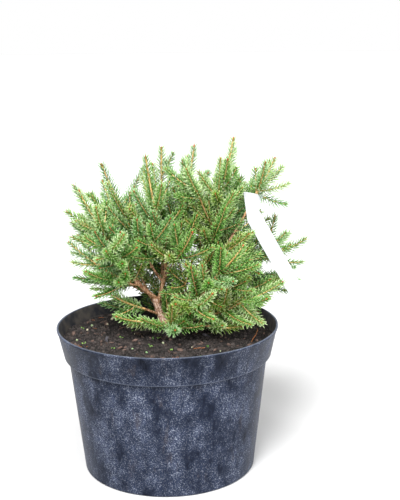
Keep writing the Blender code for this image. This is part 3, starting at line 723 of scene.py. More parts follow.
def bark_skin(name, lines):
    """One closed skin over tubes along those lines, raised into plates, with how raised each point is."""
    skin = with_modifiers(
        tubes(name, lines, 4),
        ("REMESH", {"mode": "VOXEL", "voxel_size": SKIN_GRAIN, "use_smooth_shade": True}),
        ("SMOOTH", {"factor": 0.5, "iterations": 4}),
    )
    count = len(skin.vertices)
    places, normals = np.empty(count * 3, np.float32), np.empty(count * 3, np.float32)
    skin.vertices.foreach_get("co", places)
    skin.vertex_normals.foreach_get("vector", normals)
    places, normals = places.reshape(-1, 3), normals.reshape(-1, 3)
    plates, flakes = [], []
    for place in map(Vector, places):
        warped = place + noise.noise_vector(place / WANDER_WIDTH) * WANDER * MM
        warped.z *= PLATE_STRETCH
        near, next_near = noise.voronoi(warped / PLATE)[0][:2]
        plates.append(min(1.0, (next_near - near) / CRACK_WIDTH))
        flakes.append(noise.noise(place / FLAKE_WIDTH))
    plates, flakes = np.array(plates), np.array(flakes)
    lift = (plates - PLATE_LEVEL) * CRACK_DEPTH + flakes * FLAKE_HEIGHT
    skin.vertices.foreach_set("co", (places + normals * lift[:, None]).reshape(-1))
    raised = skin.attributes.new("raised", "FLOAT", "POINT")
    raised.data.foreach_set("value", plates * (1 - FLAKE_SHOWS) + flakes * FLAKE_SHOWS)
    skin.update()
    return skin


def bark(name, crack, body, plate_highlight, width):
    """Living spruce bark, dry and matt: painted shade in its cracks, a painted highlight on its plates."""
    made, tree, shader = new_material(name, 0.85)
    place = add(tree, "TexCoord").outputs["Object"]
    raised = add(tree, "Attribute", {"attribute_name": "raised"})
    # The ramp paints shade into the cracks and a highlight onto the plates, by how raised each point is.
    hue = add(
        tree, "ValToRGB", {"stops": [(0.05, crack), (0.45, body), (0.85, plate_highlight)]},
        {"Fac": raised.outputs["Fac"]},
    )
    patches = add(tree, "TexNoise", {"Scale": 1 / width, "Detail": 4}, {"Vector": place})
    mixed = mottled(tree, hue, patches, 0.75, 1.2)
    flakes = add(tree, "TexNoise", {"Scale": 1 / (0.7 * MM), "Detail": 3}, {"Vector": place})
    rough = add(tree, "Bump", {"Strength": 0.5, "Distance": 0.2 * MM}, {"Height": flakes})
    join(shader, {"Base Color": mixed, "Normal": rough})
    return made


limbs = make_limbs()
noise.seed_set(WANDER_SEED)  # without a seed the cracks would wander in another way on each run
# The colours of each bark: painted crack shade, its own colour, painted plate highlight, then the patch
# width.
trunk_bark = bark("old_spruce_bark", "#7f5a47", "#b88f78", "#dbc2b1", 7 * MM)
bough_bark = bark("young_spruce_bark", "#6a452f", "#ab7b58", "#d3aa88", 6 * MM)
trunk_skin = bark_skin("trunk_bark", [limbs["trunk"].tube()])
bough_skin = bark_skin("bough_bark", [limbs[name].tube() for name in BOUGHS])
add_piece("trunk_bark", trunk_skin, [trunk_bark], ["trunk"])
add_piece("bough_bark", bough_skin, [bough_bark], [f"bough_{name}" for name in BOUGHS])

# Hang tag
# A blank strip of white polypropylene film, cut with a wider head that is turned aside and hangs on a loop
# round the end of a bough. The film is cut to its outline, curled a little and given its thickness.
TAG_BOUGH = "right_upper"
TAG_SHARE = 0.95  # of that bough, where the loop is
TAG_THICKNESS = 0.6 * MM
TAG_WIDTH = 15.5 * MM
TAG_LENGTH = 92 * MM
TAG_HEAD_WIDTH = 20.5 * MM
TAG_HEAD_LENGTH = 22 * MM
TAG_HEAD_TURN = math.radians(31)
TAG_NECK_SLANT = 3.2 * MM  # how much lower its left edge leaves the head, and how much higher its right edge
TAG_TOP_SLANT = 1.7 * MM  # the same for the head's top, the other way round
TAG_LOOP_SHARE = 0.73  # of the head, from the neck up
TAG_HANG = Vector((0.45, -0.24, -0.86))
TAG_FACES = Vector((0.1, -0.94, 0.32))
TAG_CORNER = 1.6 * MM
TAG_CURL = 0.9 * MM
TAG_CUP = 0.8  # how far its edges bend back, as a share of the curl
TAG_CUTS = 24  # across the strip, so that it can curl
LOOP_THICKNESS = 0.9 * MM
LOOP_WIDTH = 5 * MM


def tag_frame():
    """Where the tag's strip starts, its directions along, across and outwards, and the loop's middle."""
    bough = limbs[TAG_BOUGH]
    middle, heading = bough.point(TAG_SHARE), bough.heading(TAG_SHARE)
    outward = (TAG_FACES - heading * TAG_FACES.dot(heading)).normalized()
    down = (TAG_HANG - outward * TAG_HANG.dot(outward)).normalized()
    across = outward.cross(down).normalized()
    loop_radius = bough.radius_at(TAG_SHARE) + GAP + LOOP_THICKNESS
    to_head = -down * math.cos(TAG_HEAD_TURN) + across * math.sin(TAG_HEAD_TURN)
    strip = middle + outward * loop_radius - to_head * TAG_HEAD_LENGTH * TAG_LOOP_SHARE
    return {
        "strip": strip, "down": down, "across": across, "outward": outward, "to_head": to_head,
        "middle": middle, "heading": heading, "loop_radius": loop_radius,
    }


def make_tag(tag):
    """The film with its rounded corners and slight curl."""
    strip, down, across, to_head = tag["strip"], tag["down"], tag["across"], tag["to_head"]
    head_side = to_head.cross(tag["outward"]).normalized()
    top = strip + to_head * TAG_HEAD_LENGTH
    outline = [
        strip + down * TAG_LENGTH - across * TAG_WIDTH / 2,
        strip + down * TAG_LENGTH + across * TAG_WIDTH / 2,
        strip + across * TAG_WIDTH / 2 - down * TAG_NECK_SLANT,
        top + head_side * TAG_HEAD_WIDTH / 2 - to_head * TAG_TOP_SLANT,
        top - head_side * TAG_HEAD_WIDTH / 2 + to_head * TAG_TOP_SLANT,
        strip - across * TAG_WIDTH / 2 + down * TAG_NECK_SLANT,
    ]
    bm = bmesh.new()
    corners = [bm.verts.new(corner) for corner in outline]
    bm.faces.new(corners)
    bmesh.ops.bevel(
        bm, geom=corners, offset=TAG_CORNER, affect="VERTICES", segments=4, profile=0.5, material=-1
    )
    for i in range(1, TAG_CUTS):
        whole = bm.verts[:] + bm.edges[:] + bm.faces[:]
        cut = strip + down * TAG_LENGTH * i / TAG_CUTS
        bmesh.ops.bisect_plane(bm, geom=whole, plane_co=cut, plane_no=down)
    for vertex in bm.verts:
        share = (vertex.co - strip).dot(down) / TAG_LENGTH
        side = (vertex.co - strip).dot(across) / TAG_WIDTH
        vertex.co += tag["outward"] * TAG_CURL * (math.sin(math.pi * max(0.0, share)) - TAG_CUP * side**2)
    grown = bmesh.ops.extrude_face_region(bm, geom=bm.faces[:])["geom"]
    front = [part for part in grown if isinstance(part, bmesh.types.BMVert)]
    bmesh.ops.translate(bm, vec=tag["outward"] * TAG_THICKNESS, verts=front)
    bmesh.ops.recalc_face_normals(bm, faces=bm.faces)
    return shaded_smooth(bm)


def make_loop(tag):
    """The narrow strap behind the head that goes round the bough."""
    inner, outer, half = tag["loop_radius"] - LOOP_THICKNESS, tag["loop_radius"], LOOP_WIDTH / 2
    section = ((outer, half), (outer, -half), (inner, -half), (inner, half))
    bm = turned(section, steps=40, closed=True)
    place = Matrix.Translation(tag["middle"]) @ UP.rotation_difference(tag["heading"]).to_matrix().to_4x4()
    bmesh.ops.transform(bm, matrix=place, verts=bm.verts)
    return shaded_smooth(bm)


def tag_film():
    """White polypropylene film: smooth and satin, a little cool, with faint dust and handling creases."""
    made, tree, shader = new_material("white_polypropylene_film", 0.32)
    place = add(tree, "TexCoord").outputs["Object"]
    dust = add(tree, "TexNoise", {"Scale": 1 / (6 * MM), "Detail": 5}, {"Vector": place})
    film = add(tree, "ValToRGB", {"stops": [(0.3, "#bbbec2"), (0.6, "#c1c4c7")]}, {"Fac": dust})
    creases = add(tree, "Bump", {"Strength": 0.15, "Distance": 0.4 * MM}, {"Height": dust})
    join(shader, {"Base Color": film, "Normal": creases})
    return made


tag = tag_frame()
film = tag_film()
add_piece("tag_strip", make_tag(tag), [film], ["hang_tag"])
add_piece("tag_loop", make_loop(tag), [film])

# Shoots
# Every mass of foliage grows by the source's rule: a stem of one shoot a year, with a whorl of side shoots
# where each year's growth began. Here finer shoots then fill in along the older wood, within the same reach.
NEEDLE = 8.5 * MM
NEEDLE_LEAN = math.radians(57)
TWIG_RADIUS = 1.35 * MM  # in the solids, which the room for a shoot is still reckoned with
STEM_TIP_RADIUS = 0.8 * MM
SIDE_SHOOT = 46 * MM
SIDE_SHOOT_RADII = (0.85 * MM, 0.5 * MM)
SIDE_SHOOT_RANGE = (0.85, 1.1)
SIDE_SHARES = (1.0, 0.8, 0.62)  # of its length, which a shoot without room is tried at
WHORL_ANGLE = math.radians(47)
ANGLE_JITTER = 0.12
SPIN_JITTER = 0.25
SUN_LIFT = 0.16  # how much each shoot turns upwards
UPRIGHT = 0.2  # a heading nearer to upright than this has no right of its own
WHORL_START = 3.5 * MM
FORK_SPINS = (0.0, math.pi)  # of the two shoots at the tip of a full-grown side shoot
FORK_SHARE = 0.9

# The balls that stand for a shoot with its needles: their places along it and their sizes, as shares.
BALLS = ((0.0, 0.2), (0.2, 0.2), (0.4, 0.6), (0.55, 1.0), (0.7, 1.0), (0.85, 1.0), (1.0, 0.5))

SPACE_GAP = 1.2 * MM  # between the masses
CROWDED = 17 * MM  # the least distance from a shoot's tip to the other shoots of its mass
CROWN_CENTRE = Vector((24, 22, 75)) * MM  # from the middle of the mix's top
CROWN_REACH = Vector((120, 96, 130)) * MM
CROWN_DROP = 66 * MM  # how far the crown reaches down from its centre
DOME_POWER = 3  # how full the crown's dome is, where 2 is an ellipsoid
LIMB_CLEAR = 1.0 * MM
SOIL_CLEAR = 2.5 * MM
POT_CLEAR = 2 * MM
TAG_CLEAR = 1 * MM
SEED = 7

# The finer shoots stand closer than the solids allow, since their needles may cross. They grow in rounds,
# each with its longest shoot and with how far its shoots are drawn outwards.
FINE_ROUNDS = ((46 * MM, 0.9), (30 * MM, 0.2), (26 * MM, -0.2))
FINE_RANGE = (0.75, 1.2)
FINE_RADII = (0.6 * MM, 0.45 * MM)
FINE_STEP = 6.5 * MM  # along the older wood
FINE_SPIN = math.radians(137.5)
FINE_SPIN_JITTER = 0.3
FINE_ANGLE = math.radians(45)
FINE_ANGLE_JITTER = 0.2
FINE_SLIM = 0.5  # the share of a fine shoot's breadth that has to stay clear
FINE_GAP = -4 * MM
FINE_CROWDED = 10.5 * MM
BARE_SHARE = 0.3  # of a bough, from its foot
FINE_SEED = 21

# Nothing hides the fork or the tag from the front: shoots that would pass before the tag, or before these
# shares of limb, have been cut out. That is tested from a share of a shoot on, at so many points of it.
FRONT = Vector((0, -0.957, 0.289))
RIGHT = Vector((1, 0, 0))
OPEN_LIMBS = {"trunk": (0.55, 1.0), "left": (0.0, 0.5), "centre": (0.1, 0.85)}
OPEN_BEFORE = 5 * MM
OPEN_ASIDE = 10 * MM
OPEN_FROM = 0.15
TESTED_POINTS = 8

# A finer shoot may hide two of the tested points of a shoot that stands out, and no more.
FRONT_BEFORE = 3 * MM
FRONT_ASIDE = 7 * MM
FRONT_FROM = 0.2
SHOWN_FROM = 0.3
SHOWN_POINTS = 7
HIDDEN_POINTS = 2

# The shoots of this mass are shorter than the source grows them.
SHORT_MASS = "low_right_front"
CUT_BACK = 0.6

# The shoots that stand out on the front. Each grows on a limb at a share of it, or past 1 on the stem beyond
# it. It points by an angle as seen from the front, where 0 is right and 90 is up, and by a tilt towards the
# front. Its length is in mm.
FRONT_RADII = (0.7 * MM, 0.5 * MM)
FRONT_SHOOTS = (
    ("centre", 1.27, 138, 30, 46), ("centre", 1.3, 48, 35, 42), ("front_upper", 1.0, 146, 40, 34),
    ("front_upper", 1.3, 100, 35, 32), ("right", 1.25, 93, 22, 44), ("right", 1.27, 150, 25, 34),
    ("right", 1.3, 17, 22, 32), ("right", 1.55, 130, 30, 38), ("front_right", 1.2, 97, 45, 32),
    ("front_right", 1.5, 22, 18, 34), ("front_right", 1.3, 140, 30, 34), ("low_right", 0.9, 14, 24, 56),
    ("low_right", 1.0, 92, 50, 26), ("low_right", 1.25, 80, 50, 30), ("front_right", 0.15, 98, 12, 28),
    ("front_right", 0.5, 300, 60, 24), ("front_right", 0.62, 75, 30, 28), ("front_right", 1.0, 172, 40, 27),
    ("front_centre", 0.4, 182, 28, 26), ("front_low", 0.5, 58, 40, 29), ("low_right", 0.25, 85, 45, 26),
    ("low_left_front", 0.8, 186, 35, 28), ("low_left", 1.0, 152, 12, 34), ("low_left", 1.2, 206, 25, 25),
    ("left", 1.3, 165, 25, 44), ("left", 1.5, 150, 20, 42), ("left", 1.62, 122, 18, 44),
    ("inner_left", 1.3, 150, 28, 42), ("left_low", 1.4, 176, 20, 28), ("back_left", 1.62, 58, 5, 50),
    ("low_right", 1.45, 314, 25, 33), ("front_low", 0.9, 20, 62, 30), ("low_right_front", 0.5, 70, 40, 26),
    ("back", 1.75, 62, 10, 26), ("back_top", 1.45, 118, 5, 42), ("back_top", 1.5, 40, 18, 30),
    ("right_upper", 1.05, 12, 10, 32), ("right_upper", 1.0, 92, 20, 24), ("right_upper", 1.0, 338, 0, 31),
    ("low_left_front", 0.5, 184, 25, 28), ("low_right", 0.5, 60, 72, 34), ("front_right", 1.3, 330, 68, 32),
    ("front_right", 1.0, 90, 48, 34), ("right", 0.95, 176, 30, 34), ("back_top", 0.9, 300, -8, 38),
    ("back_right_high", 0.5, 132, 0, 34), ("back", 0.35, 130, -18, 32), ("back_left", 0.45, 60, -15, 30),
    ("front_centre", 1.0, 140, 25, 22), ("front_centre", 1.0, 72, 20, 24),
    ("front_centre", 0.9, 192, 40, 18), ("back_right_low", 0.5, 112, -8, 40),
    ("back_right", 0.45, 118, -8, 40), ("back_left", 0.7, 40, -10, 28), ("front_centre", 1.0, 106, 5, 26),
    ("front_centre", 0.6, 122, 5, 22), ("inner_left", 1.0, 118, 30, 36), ("left", 1.22, 178, 22, 46),
    ("inner_left", 1.2, 135, 35, 44), ("back_top", 1.0, 108, 30, 44), ("low_right", 1.5, 25, 24, 44),
    ("low_right", 1.2, 30, 30, 40),
)

# The crown is open to the sky at these places as seen from the eye: each is so far to the right of the pot's
# axis, so far above the rim and so wide, in mm. A shoot is tested from GAP_FROM of its length on.
EYE = Vector((0, 0, POT_HEIGHT)) + FRONT
SKY_GAPS = (
    (-38, 166, 15), (-40, 142, 8), (-79, 168, 14), (-97, 142, 11), (-14, 172, 4), (12, 170, 5),
    (15, 186, 8), (44, 178, 13), (41, 160, 6), (84, 168, 14), (80, 152, 5), (96, 180, 8), (118, 142, 7),
    (104, 122, 11), (124, 104, 9), (-104, 58, 9), (-104, 120, 8), (-43, 36, 9), (-33, 29, 6), (98, 176, 10),
    (106, 61, 9), (113, 16, 9), (99, 11, 5),
)
GAP_FROM = 0.45
GAP_POINTS = 6

Shoot = namedtuple("Shoot", "mass start end years foot_radius tip_radius")


def inner_radius(height):
    """How far the pot's inner wall is from the axis at that height."""
    rim = [(COLLAR_TOP_RADIUS, POT_HEIGHT - LIP_HEIGHT), (COLLAR_TOP_RADIUS + WALL / 2, POT_HEIGHT)]
    radii, heights = zip(*wall_line(FLOOR, 0), *rim)
    return float(np.interp(height, heights, radii)) - WALL


def distances(points, line):
    """How far each point is from a line of joined straight pieces."""
    starts, ends = np.array(line[:-1]), np.array(line[1:])
    way = ends - starts
    offset = points[:, None, :] - starts
    share = np.clip((offset * way).sum(2) / (way * way).sum(1), 0, 1)
    return np.linalg.norm(offset - share[..., None] * way, axis=2).min(1)


def chain(start, end):
    """The centres and radii of the balls that stand for a shoot and its needles."""
    way, full = end - start, NEEDLE * math.sin(NEEDLE_LEAN) + TWIG_RADIUS
    centres = np.array([start + way * share for share, _ in BALLS])
    return centres, np.array([size * full for _, size in BALLS])


def over_tag(points, radii, tag):
    """Which points are over or under the tag's outline, and how far out from the film each point is."""
    offset = points - np.array(tag["strip"])
    down, across, out = (offset @ np.array(tag[way]) for way in ("down", "across", "outward"))
    length, side = TAG_LENGTH + radii, TAG_WIDTH / 2 + radii
    strip = (down > -radii) & (down < length) & (abs(across) < side)
    to_head = np.array(tag["to_head"])
    up = offset @ to_head
    flat = offset - np.outer(up, to_head) - np.outer(out, np.array(tag["outward"]))
    aside = np.linalg.norm(flat, axis=1)
    head = (up > 0) & (up < TAG_HEAD_LENGTH + TAG_TOP_SLANT) & (aside < TAG_HEAD_WIDTH / 2 + radii)
    return strip | head, out


def near_tag(centres, radii, tag):
    """Whether any ball is in the tag's way."""
    over, out = over_tag(centres, radii, tag)
    return bool((over & (abs(out) < TAG_CLEAR + radii)).any())


class Room:
    """Keeps every mass to a space of its own, clear of the limbs, the pot, the mix and the tag."""

    def __init__(self):
        self.centres, self.radii, self.owners = np.empty((0, 3)), np.empty(0), np.empty(0, dtype=int)
        self.order = list(BOUGHS)

    def take(self, name, start, end):
        centres, radii = chain(start, end)
        self.centres = np.vstack([self.centres, centres])
        self.radii = np.append(self.radii, radii)
        self.owners = np.append(self.owners, np.full(len(radii), self.order.index(name)))

    def fits(self, name, start, end, gap=SPACE_GAP, crowded=CROWDED, slim=1.0):
        """Whether a shoot of that mass, with its needles, touches nothing and crowds no other shoot."""
        out = end - UP * SOIL_TOP - CROWN_CENTRE
        reach = (*CROWN_REACH.xy, CROWN_REACH.z if out.z > 0 else CROWN_DROP)
        if sum(abs(way / full) ** DOME_POWER for way, full in zip(out, reach)) > 1:
            return False
        centres, radii = chain(start, end)
        apart = np.linalg.norm(self.centres[:, None] - centres, axis=2)
        others = self.owners != self.order.index(name)
        if (apart[others] < self.radii[others][:, None] + radii * slim + gap).any():
            return False
        if (apart[~others, -1] < crowded).any():
            return False
        for owner, limb in limbs.items():
            skip = 2 if owner == name else 0
            if (distances(centres[skip:], limb.line) < limb.radius + radii[skip:] * slim + LIMB_CLEAR).any():
                return False
        return self.is_open(centres, radii, slim)

    def is_open(self, centres, radii, slim=1.0):
        """Whether balls keep clear of the pot, the mix and the tag."""
        out = np.hypot(centres[:, 0], centres[:, 1]) + radii
        low = centres[:, 2] - radii < POT_HEIGHT + POT_CLEAR
        inside = np.array([inner_radius(z) for z in centres[:, 2]]) - POT_CLEAR
        if (centres[:, 2] - radii < SOIL_TOP + SOIL_CLEAR).any() or (low & (out > inside)).any():
            return False
        return not near_tag(centres, radii * slim, tag)


def turned_away(heading, angle, spin):
    """The direction at that angle from heading. Spin 0 is to its right, and a quarter turn is above it."""
    side = heading.cross(UP)
    if side.length < UPRIGHT:
        side = Vector((1, 0, 0))
    side.normalize()
    lift = side.cross(heading).normalized()
    out = side * math.cos(spin) + lift * math.sin(spin)
    return (heading * math.cos(angle) + out * math.sin(angle) + UP * SUN_LIFT).normalized()


def lines_that_show():
    """The lines of the limbs and of the tag that nothing hides, as arrays of points."""
    lines = [
        [limbs[name].point(share) for share in np.linspace(first, last, 9)]
        for name, (first, last) in OPEN_LIMBS.items()
    ]
    for way, length, count in (("down", TAG_LENGTH, 13), ("to_head", TAG_HEAD_LENGTH, 5)):
        lines.append([tag["strip"] + tag[way] * length * share for share in np.linspace(0, 1, count)])
    return [np.array(line) for line in lines]


def before(points, line, depth, aside):
    """Which points are in front of which points of a line, by more than that depth and within aside."""
    front = np.array(FRONT)
    offset = points[:, None] - line
    nearer = offset @ front
    beside = np.linalg.norm(offset - nearer[..., None] * front, axis=2)
    return (nearer > depth) & (beside < aside)


def in_the_way(start, end):
    """Whether a shoot passes in front of the limbs or the tag that show."""
    points = np.linspace(start.lerp(end, OPEN_FROM), end, TESTED_POINTS)
    return any(before(points, line, OPEN_BEFORE, OPEN_ASIDE).any() for line in shown_lines)


def hides_front_shoot(start, end, front_shoots):
    """Whether a shoot passes in front of one that stands out."""
    points = np.linspace(start.lerp(end, FRONT_FROM), end, TESTED_POINTS)
    for other in front_shoots:
        line = np.linspace(other.start.lerp(other.end, SHOWN_FROM), other.end, SHOWN_POINTS)
        if before(points, line, FRONT_BEFORE, FRONT_ASIDE).any(axis=0).sum() > HIDDEN_POINTS:
            return True
    return False


def in_a_gap(start, end):
    """Whether a shoot reaches into a gap of the crown."""
    points = np.linspace(start.lerp(end, GAP_FROM), end, GAP_POINTS) - np.array(EYE)
    for right, height, width in SKY_GAPS:
        way = np.array((Vector((right * MM, 0, POT_HEIGHT + height * MM)) - EYE).normalized())
        if (np.linalg.norm(points - np.outer(points @ way, way), axis=1) < width * MM).any():
            return True
    return False


def keeps_clear(start, end, front_shoots):
    """Whether a shoot hides nothing that shows and closes no gap."""
    if in_the_way(start, end) or in_a_gap(start, end):
        return False
    return not hides_front_shoot(start, end, front_shoots)


def grow_main(room):
    """The shoots of every mass, as the source grows them: the stems, then the side shoots, oldest first."""
    shoots, buds = [], []
    for name, bough in BOUGHS.items():
        bearing, rise, length = bough.crown
        foot = limbs[name].end + limbs[name].heading(1) * GAP
        tip = foot + pointing(bearing, rise) * length * MM
        heading = (tip - foot).normalized()
        nodes = [foot.lerp(tip, year / bough.years) for year in range(bough.years + 1)]
        rng = random.Random(f"{name} {SEED}")
        radius = limbs[name].end_radius
        for year, (start, end) in enumerate(zip(nodes, nodes[1:])):
            slim = radius + (STEM_TIP_RADIUS - radius) * (year + 1) / bough.years
            shoots.append(Shoot(name, start, end, bough.years - year, radius, slim))
            radius = slim
            room.take(name, start, end)
            start = start + heading * (WHORL_START if year == 0 else 0)
            for i in range(bough.whorl):
                spin = math.radians(bough.roll) + year + math.tau * i / bough.whorl
                buds.append((year, name, rng, start, heading, bough.years - year, spin, SIDE_SHOOT))
    while buds:
        buds.sort(key=lambda bud: bud[0])
        year, name, rng, foot, heading, age, spin, length = buds.pop(0)
        angle = WHORL_ANGLE + rng.uniform(-ANGLE_JITTER, ANGLE_JITTER)
        way = turned_away(heading, angle, spin + rng.uniform(-SPIN_JITTER, SPIN_JITTER))
        size = length * rng.uniform(*SIDE_SHOOT_RANGE)
        for share in SIDE_SHARES:
            end = foot + way * size * share
            if room.fits(name, foot, end):
                break
        else:
            continue
        forks = age > 1 and share == SIDE_SHARES[0]
        shoots.append(Shoot(name, foot, end, 2 if forks else 1, *SIDE_SHOOT_RADII))
        room.take(name, foot, end)
        if forks:
            for spin in FORK_SPINS:
                buds.append((year + 1, name, rng, end, way, 1, spin, length * FORK_SHARE))
    return shoots


def grow_front(room):
    """The shoots that stand out on the front, but for any that would meet the pot, the mix or the tag."""
    shoots = []
    above = RIGHT.cross(-FRONT)
    for name, share, turn, tilt, length in FRONT_SHOOTS:
        bearing, rise, reach = BOUGHS[name].crown
        beyond = pointing(bearing, rise) * reach * MM * max(0.0, share - 1)
        foot = limbs[name].point(min(share, 1)) + beyond
        turn, tilt = math.radians(turn), math.radians(tilt)
        way = (RIGHT * math.cos(turn) + above * math.sin(turn)) * math.cos(tilt) + FRONT * math.sin(tilt)
        end = foot + way * length * MM
        if room.is_open(*chain(foot, end), FINE_SLIM):
            shoots.append(Shoot(name, foot, end, 1, *FRONT_RADII))
            room.take(name, foot, end)
    return shoots


def fine_sites(shoots):
    """Where finer shoots may start along the older wood: the mass, the place, its heading and its number."""
    sites = []
    for name in BOUGHS:
        limb = limbs[name]
        first = math.ceil(BARE_SHARE * limb.length / FINE_STEP)
        for step in range(first, int(limb.length / FINE_STEP) + 1):
            share = step * FINE_STEP / limb.length
            sites.append((name, limb.point(share), limb.heading(share), step))
    for shoot in shoots:
        if shoot.years > 1:
            way = shoot.end - shoot.start
            for step in range(1, int(way.length / FINE_STEP)):
                place = shoot.start + way.normalized() * step * FINE_STEP
                sites.append((shoot.mass, place, way.normalized(), step))
    return sites


def grow_fine(room, shoots, front_shoots):
    """Finer shoots along the boughs and along the shoots that are over a year old."""
    rng = random.Random(FINE_SEED)
    fine = []
    sites = fine_sites(shoots)
    tries = [(*how, *site, turn) for how in FINE_ROUNDS for site in sites for turn in (0, math.pi)]
    for longest, draw, name, foot, heading, step, turn in tries:
        angle = FINE_ANGLE + rng.uniform(-FINE_ANGLE_JITTER, FINE_ANGLE_JITTER)
        spin = step * FINE_SPIN + turn + rng.uniform(-FINE_SPIN_JITTER, FINE_SPIN_JITTER)
        outward = (foot - UP * SOIL_TOP - CROWN_CENTRE).normalized()
        way = (turned_away(heading, angle, spin) + outward * draw).normalized()
        size = longest * rng.uniform(*FINE_RANGE)
        for share in SIDE_SHARES:
            end = foot + way * size * share
            fits = room.fits(name, foot, end, FINE_GAP, FINE_CROWDED, FINE_SLIM)
            if fits and keeps_clear(foot, end, front_shoots):
                fine.append(Shoot(name, foot, end, 1, *FINE_RADII))
                room.take(name, foot, end)
                break
    return fine


def trimmed(shoots):
    """The shoots that hide nothing that shows. Only those in their first year keep clear of the gaps."""
    kept = []
    for shoot in shoots:
        if shoot.mass == SHORT_MASS:
            shoot = shoot._replace(end=shoot.start.lerp(shoot.end, CUT_BACK))
        closes_gap = shoot.years == 1 and in_a_gap(shoot.start, shoot.end)
        if not closes_gap and not in_the_way(shoot.start, shoot.end):
            kept.append(shoot)
    return kept


room = Room()
shown_lines = lines_that_show()
main_shoots = grow_main(room)
front_shoots = grow_front(room)
fine_shoots = grow_fine(room, main_shoots, front_shoots)
shoots = trimmed(main_shoots) + fine_shoots + front_shoots

# Twigs
# The wood of the shoots, slim and slightly bowed, pale orange-brown in its first year and browner on older
# shoots. They are round tubes along curves, each sunk into the older wood that it grows on.
BOW = 0.05  # how far a shoot's middle hangs below the line between its ends, as a share of its length
TWIG_STEPS = 6
SINK = 0.8 * MM


def shoot_curve(shoot):
    """A shoot's foot, its control point and its tip."""
    way = shoot.end - shoot.start
    below = -UP + way.normalized() * way.normalized().z
    return shoot.start, (shoot.start + shoot.end) / 2 + below * way.length * BOW * 2, shoot.end


def twig_line(shoot):
    """The twig as points with radii, from inside the older wood to its tip."""
    foot, control, tip = shoot_curve(shoot)
    line = [(foot - (control - foot).normalized() * SINK, shoot.foot_radius)]
    for i in range(1, TWIG_STEPS + 1):
        share = i / TWIG_STEPS
        radius = shoot.foot_radius + (shoot.tip_radius - shoot.foot_radius) * share
        line.append((on_curve(foot, control, tip, share), radius))
    return line


foliage_nodes = [f"foliage_{name}" for name in BOUGHS]
young_wood = plain_finish("first_year_wood", "#c4914f", "#e4c084", 4 * MM, 0.6)
older_wood = plain_finish("second_year_wood", "#a97848", "#d2a673", 5 * MM, 0.75)
young_lines = [twig_line(shoot) for shoot in shoots if shoot.years == 1]
older_lines = [twig_line(shoot) for shoot in shoots if shoot.years > 1]
add_piece("twigs_young", tubes("twigs_young", young_lines, 1), [young_wood], foliage_nodes)
add_piece("twigs_older", tubes("twigs_older", older_lines, 1), [older_wood], foliage_nodes)

# Needles
# Stiff four-sided needles, set in a spiral round each shoot and swept forwards, most of them parted to its
# two sides. They are copies of one tapered and bent needle. Each shoot has one of six greens, by where it
# grows, its age and chance: painted shade inside and low down, painted light outside, on top and on shoots
# that stand out. It has a tone of its own, paler at the top as painted light, and each needle is darker at
# its foot as painted shade.
NEEDLE_WIDTH = 0.9 * MM
NEEDLE_THICKNESS = 0.75 * MM
NEEDLE_BEND = 1.5  # how far its tip is bent forwards, in its own thickness
NEEDLE_RINGS = ((0.25, 1.9), (0.57, 0.82), (0.18, 0.02))  # each ring's step along it and its growth
NEEDLE_FOOT = 0.7  # how far out its foot is, as a share of the twig's radius
NEEDLES_PER_MM = 2.2
OLDER_SHARE = 0.65  # of the needles are still on an older shoot
NEEDLE_RANGE = (0.86, 1.04)
LONGEST = 1.1  # the length of needle in the middle of a shoot, as a share of NEEDLE
TIP_SHORTENS = 0.4
FOOT_SHORTENS = 0.25
NEEDLES_FROM = 0.05  # of a shoot's length
NEEDLE_SCATTER = 0.12  # along the shoot, as a share of the step to the next needle
GOLDEN = math.radians(137.508)
GOLDEN_SCATTER = 0.08
PARTING = (0.1, 0.36)  # on an upright shoot, and how much more on a level one
PARTS_FROM = 0.4  # how level a shoot is where the parting starts to grow
PARTS_OVER = 0.45
FOOT_LEAN = 72  # in degrees from the shoot
TIP_SWEEP = 26  # how much less the needles lean out near its tip
TOP_SWEEP = 10  # and on top of a level shoot
LEAN_SCATTER = 4
NEEDLE_LIFT = 0.05  # towards the light
NEEDLE_SEED = 5
PAINTED_TOP_LIGHT = 0.14  # how much paler the needles are at the top of the crown, as painted light
TONES = (-0.28, 0.08)  # from shoot to shoot
NEEDLE_TONES = 0.05  # from needle to needle
# Each green: a foot darkened as painted shade, a middle, and a pale end of wax bloom and painted highlight.
GREENS = {
    "shaded": ("#21480e", "#588a29", "#a2ba72"),
    "deep": ("#2c6016", "#6ca440", "#bad092"),
    "middle": ("#30691a", "#699f3f", "#b5cd8e"),
    "bluish": ("#336727", "#699d4e", "#b6cea0"),
    "lit_and_fresh": ("#427822", "#7aa94b", "#c8daa6"),
    "olive": ("#4a6f1a", "#7fa33c", "#c9d29a"),
}

# A shoot's score of painted light and freshness gives its green: each of these up to its limit, and the
# palest green past the last. The score grows outwards and upwards as painted light, and is lower on older
# shoots. An odd shoot is olive or, if its score is over ODD_LIMIT, bluish.
GREEN_LIMITS = ((0.56, "shaded"), (0.78, "deep"), (0.98, "middle"))
UPWARDS = 0.25  # how much higher the score is at the top of the crown, as painted light
OLDER = 0.25  # how much less fresh an older shoot is
CHANCE = 0.16
STAND_OUT_LIGHT = 0.2  # how much the score of the shoots that stand out rises, as painted light
STAND_OUT_LIGHT_TONE = 0.04  # and how much paler they are, as painted light
ODD_SHARE = 0.3
ODD_LIMIT = 0.75


def needle_finish(name, foot, middle, bloom_and_highlight):
    """Waxy spruce needles: painted shade at the foot, a paler tip, bloom and painted highlight on some."""
    made, tree, shader = new_material(f"{name}_needles", 0.36)
    tone = add(tree, "Attribute", {"attribute_name": "tone"})
    # The tone runs from painted shade at a needle's foot to bloom and painted highlight at its tip.
    hue = add(
        tree, "ValToRGB", {"stops": [(0.1, foot), (0.45, middle), (0.95, bloom_and_highlight)]},
        {"Fac": tone.outputs["Fac"]},
    )
    join(shader, {"Base Color": hue})
    return made


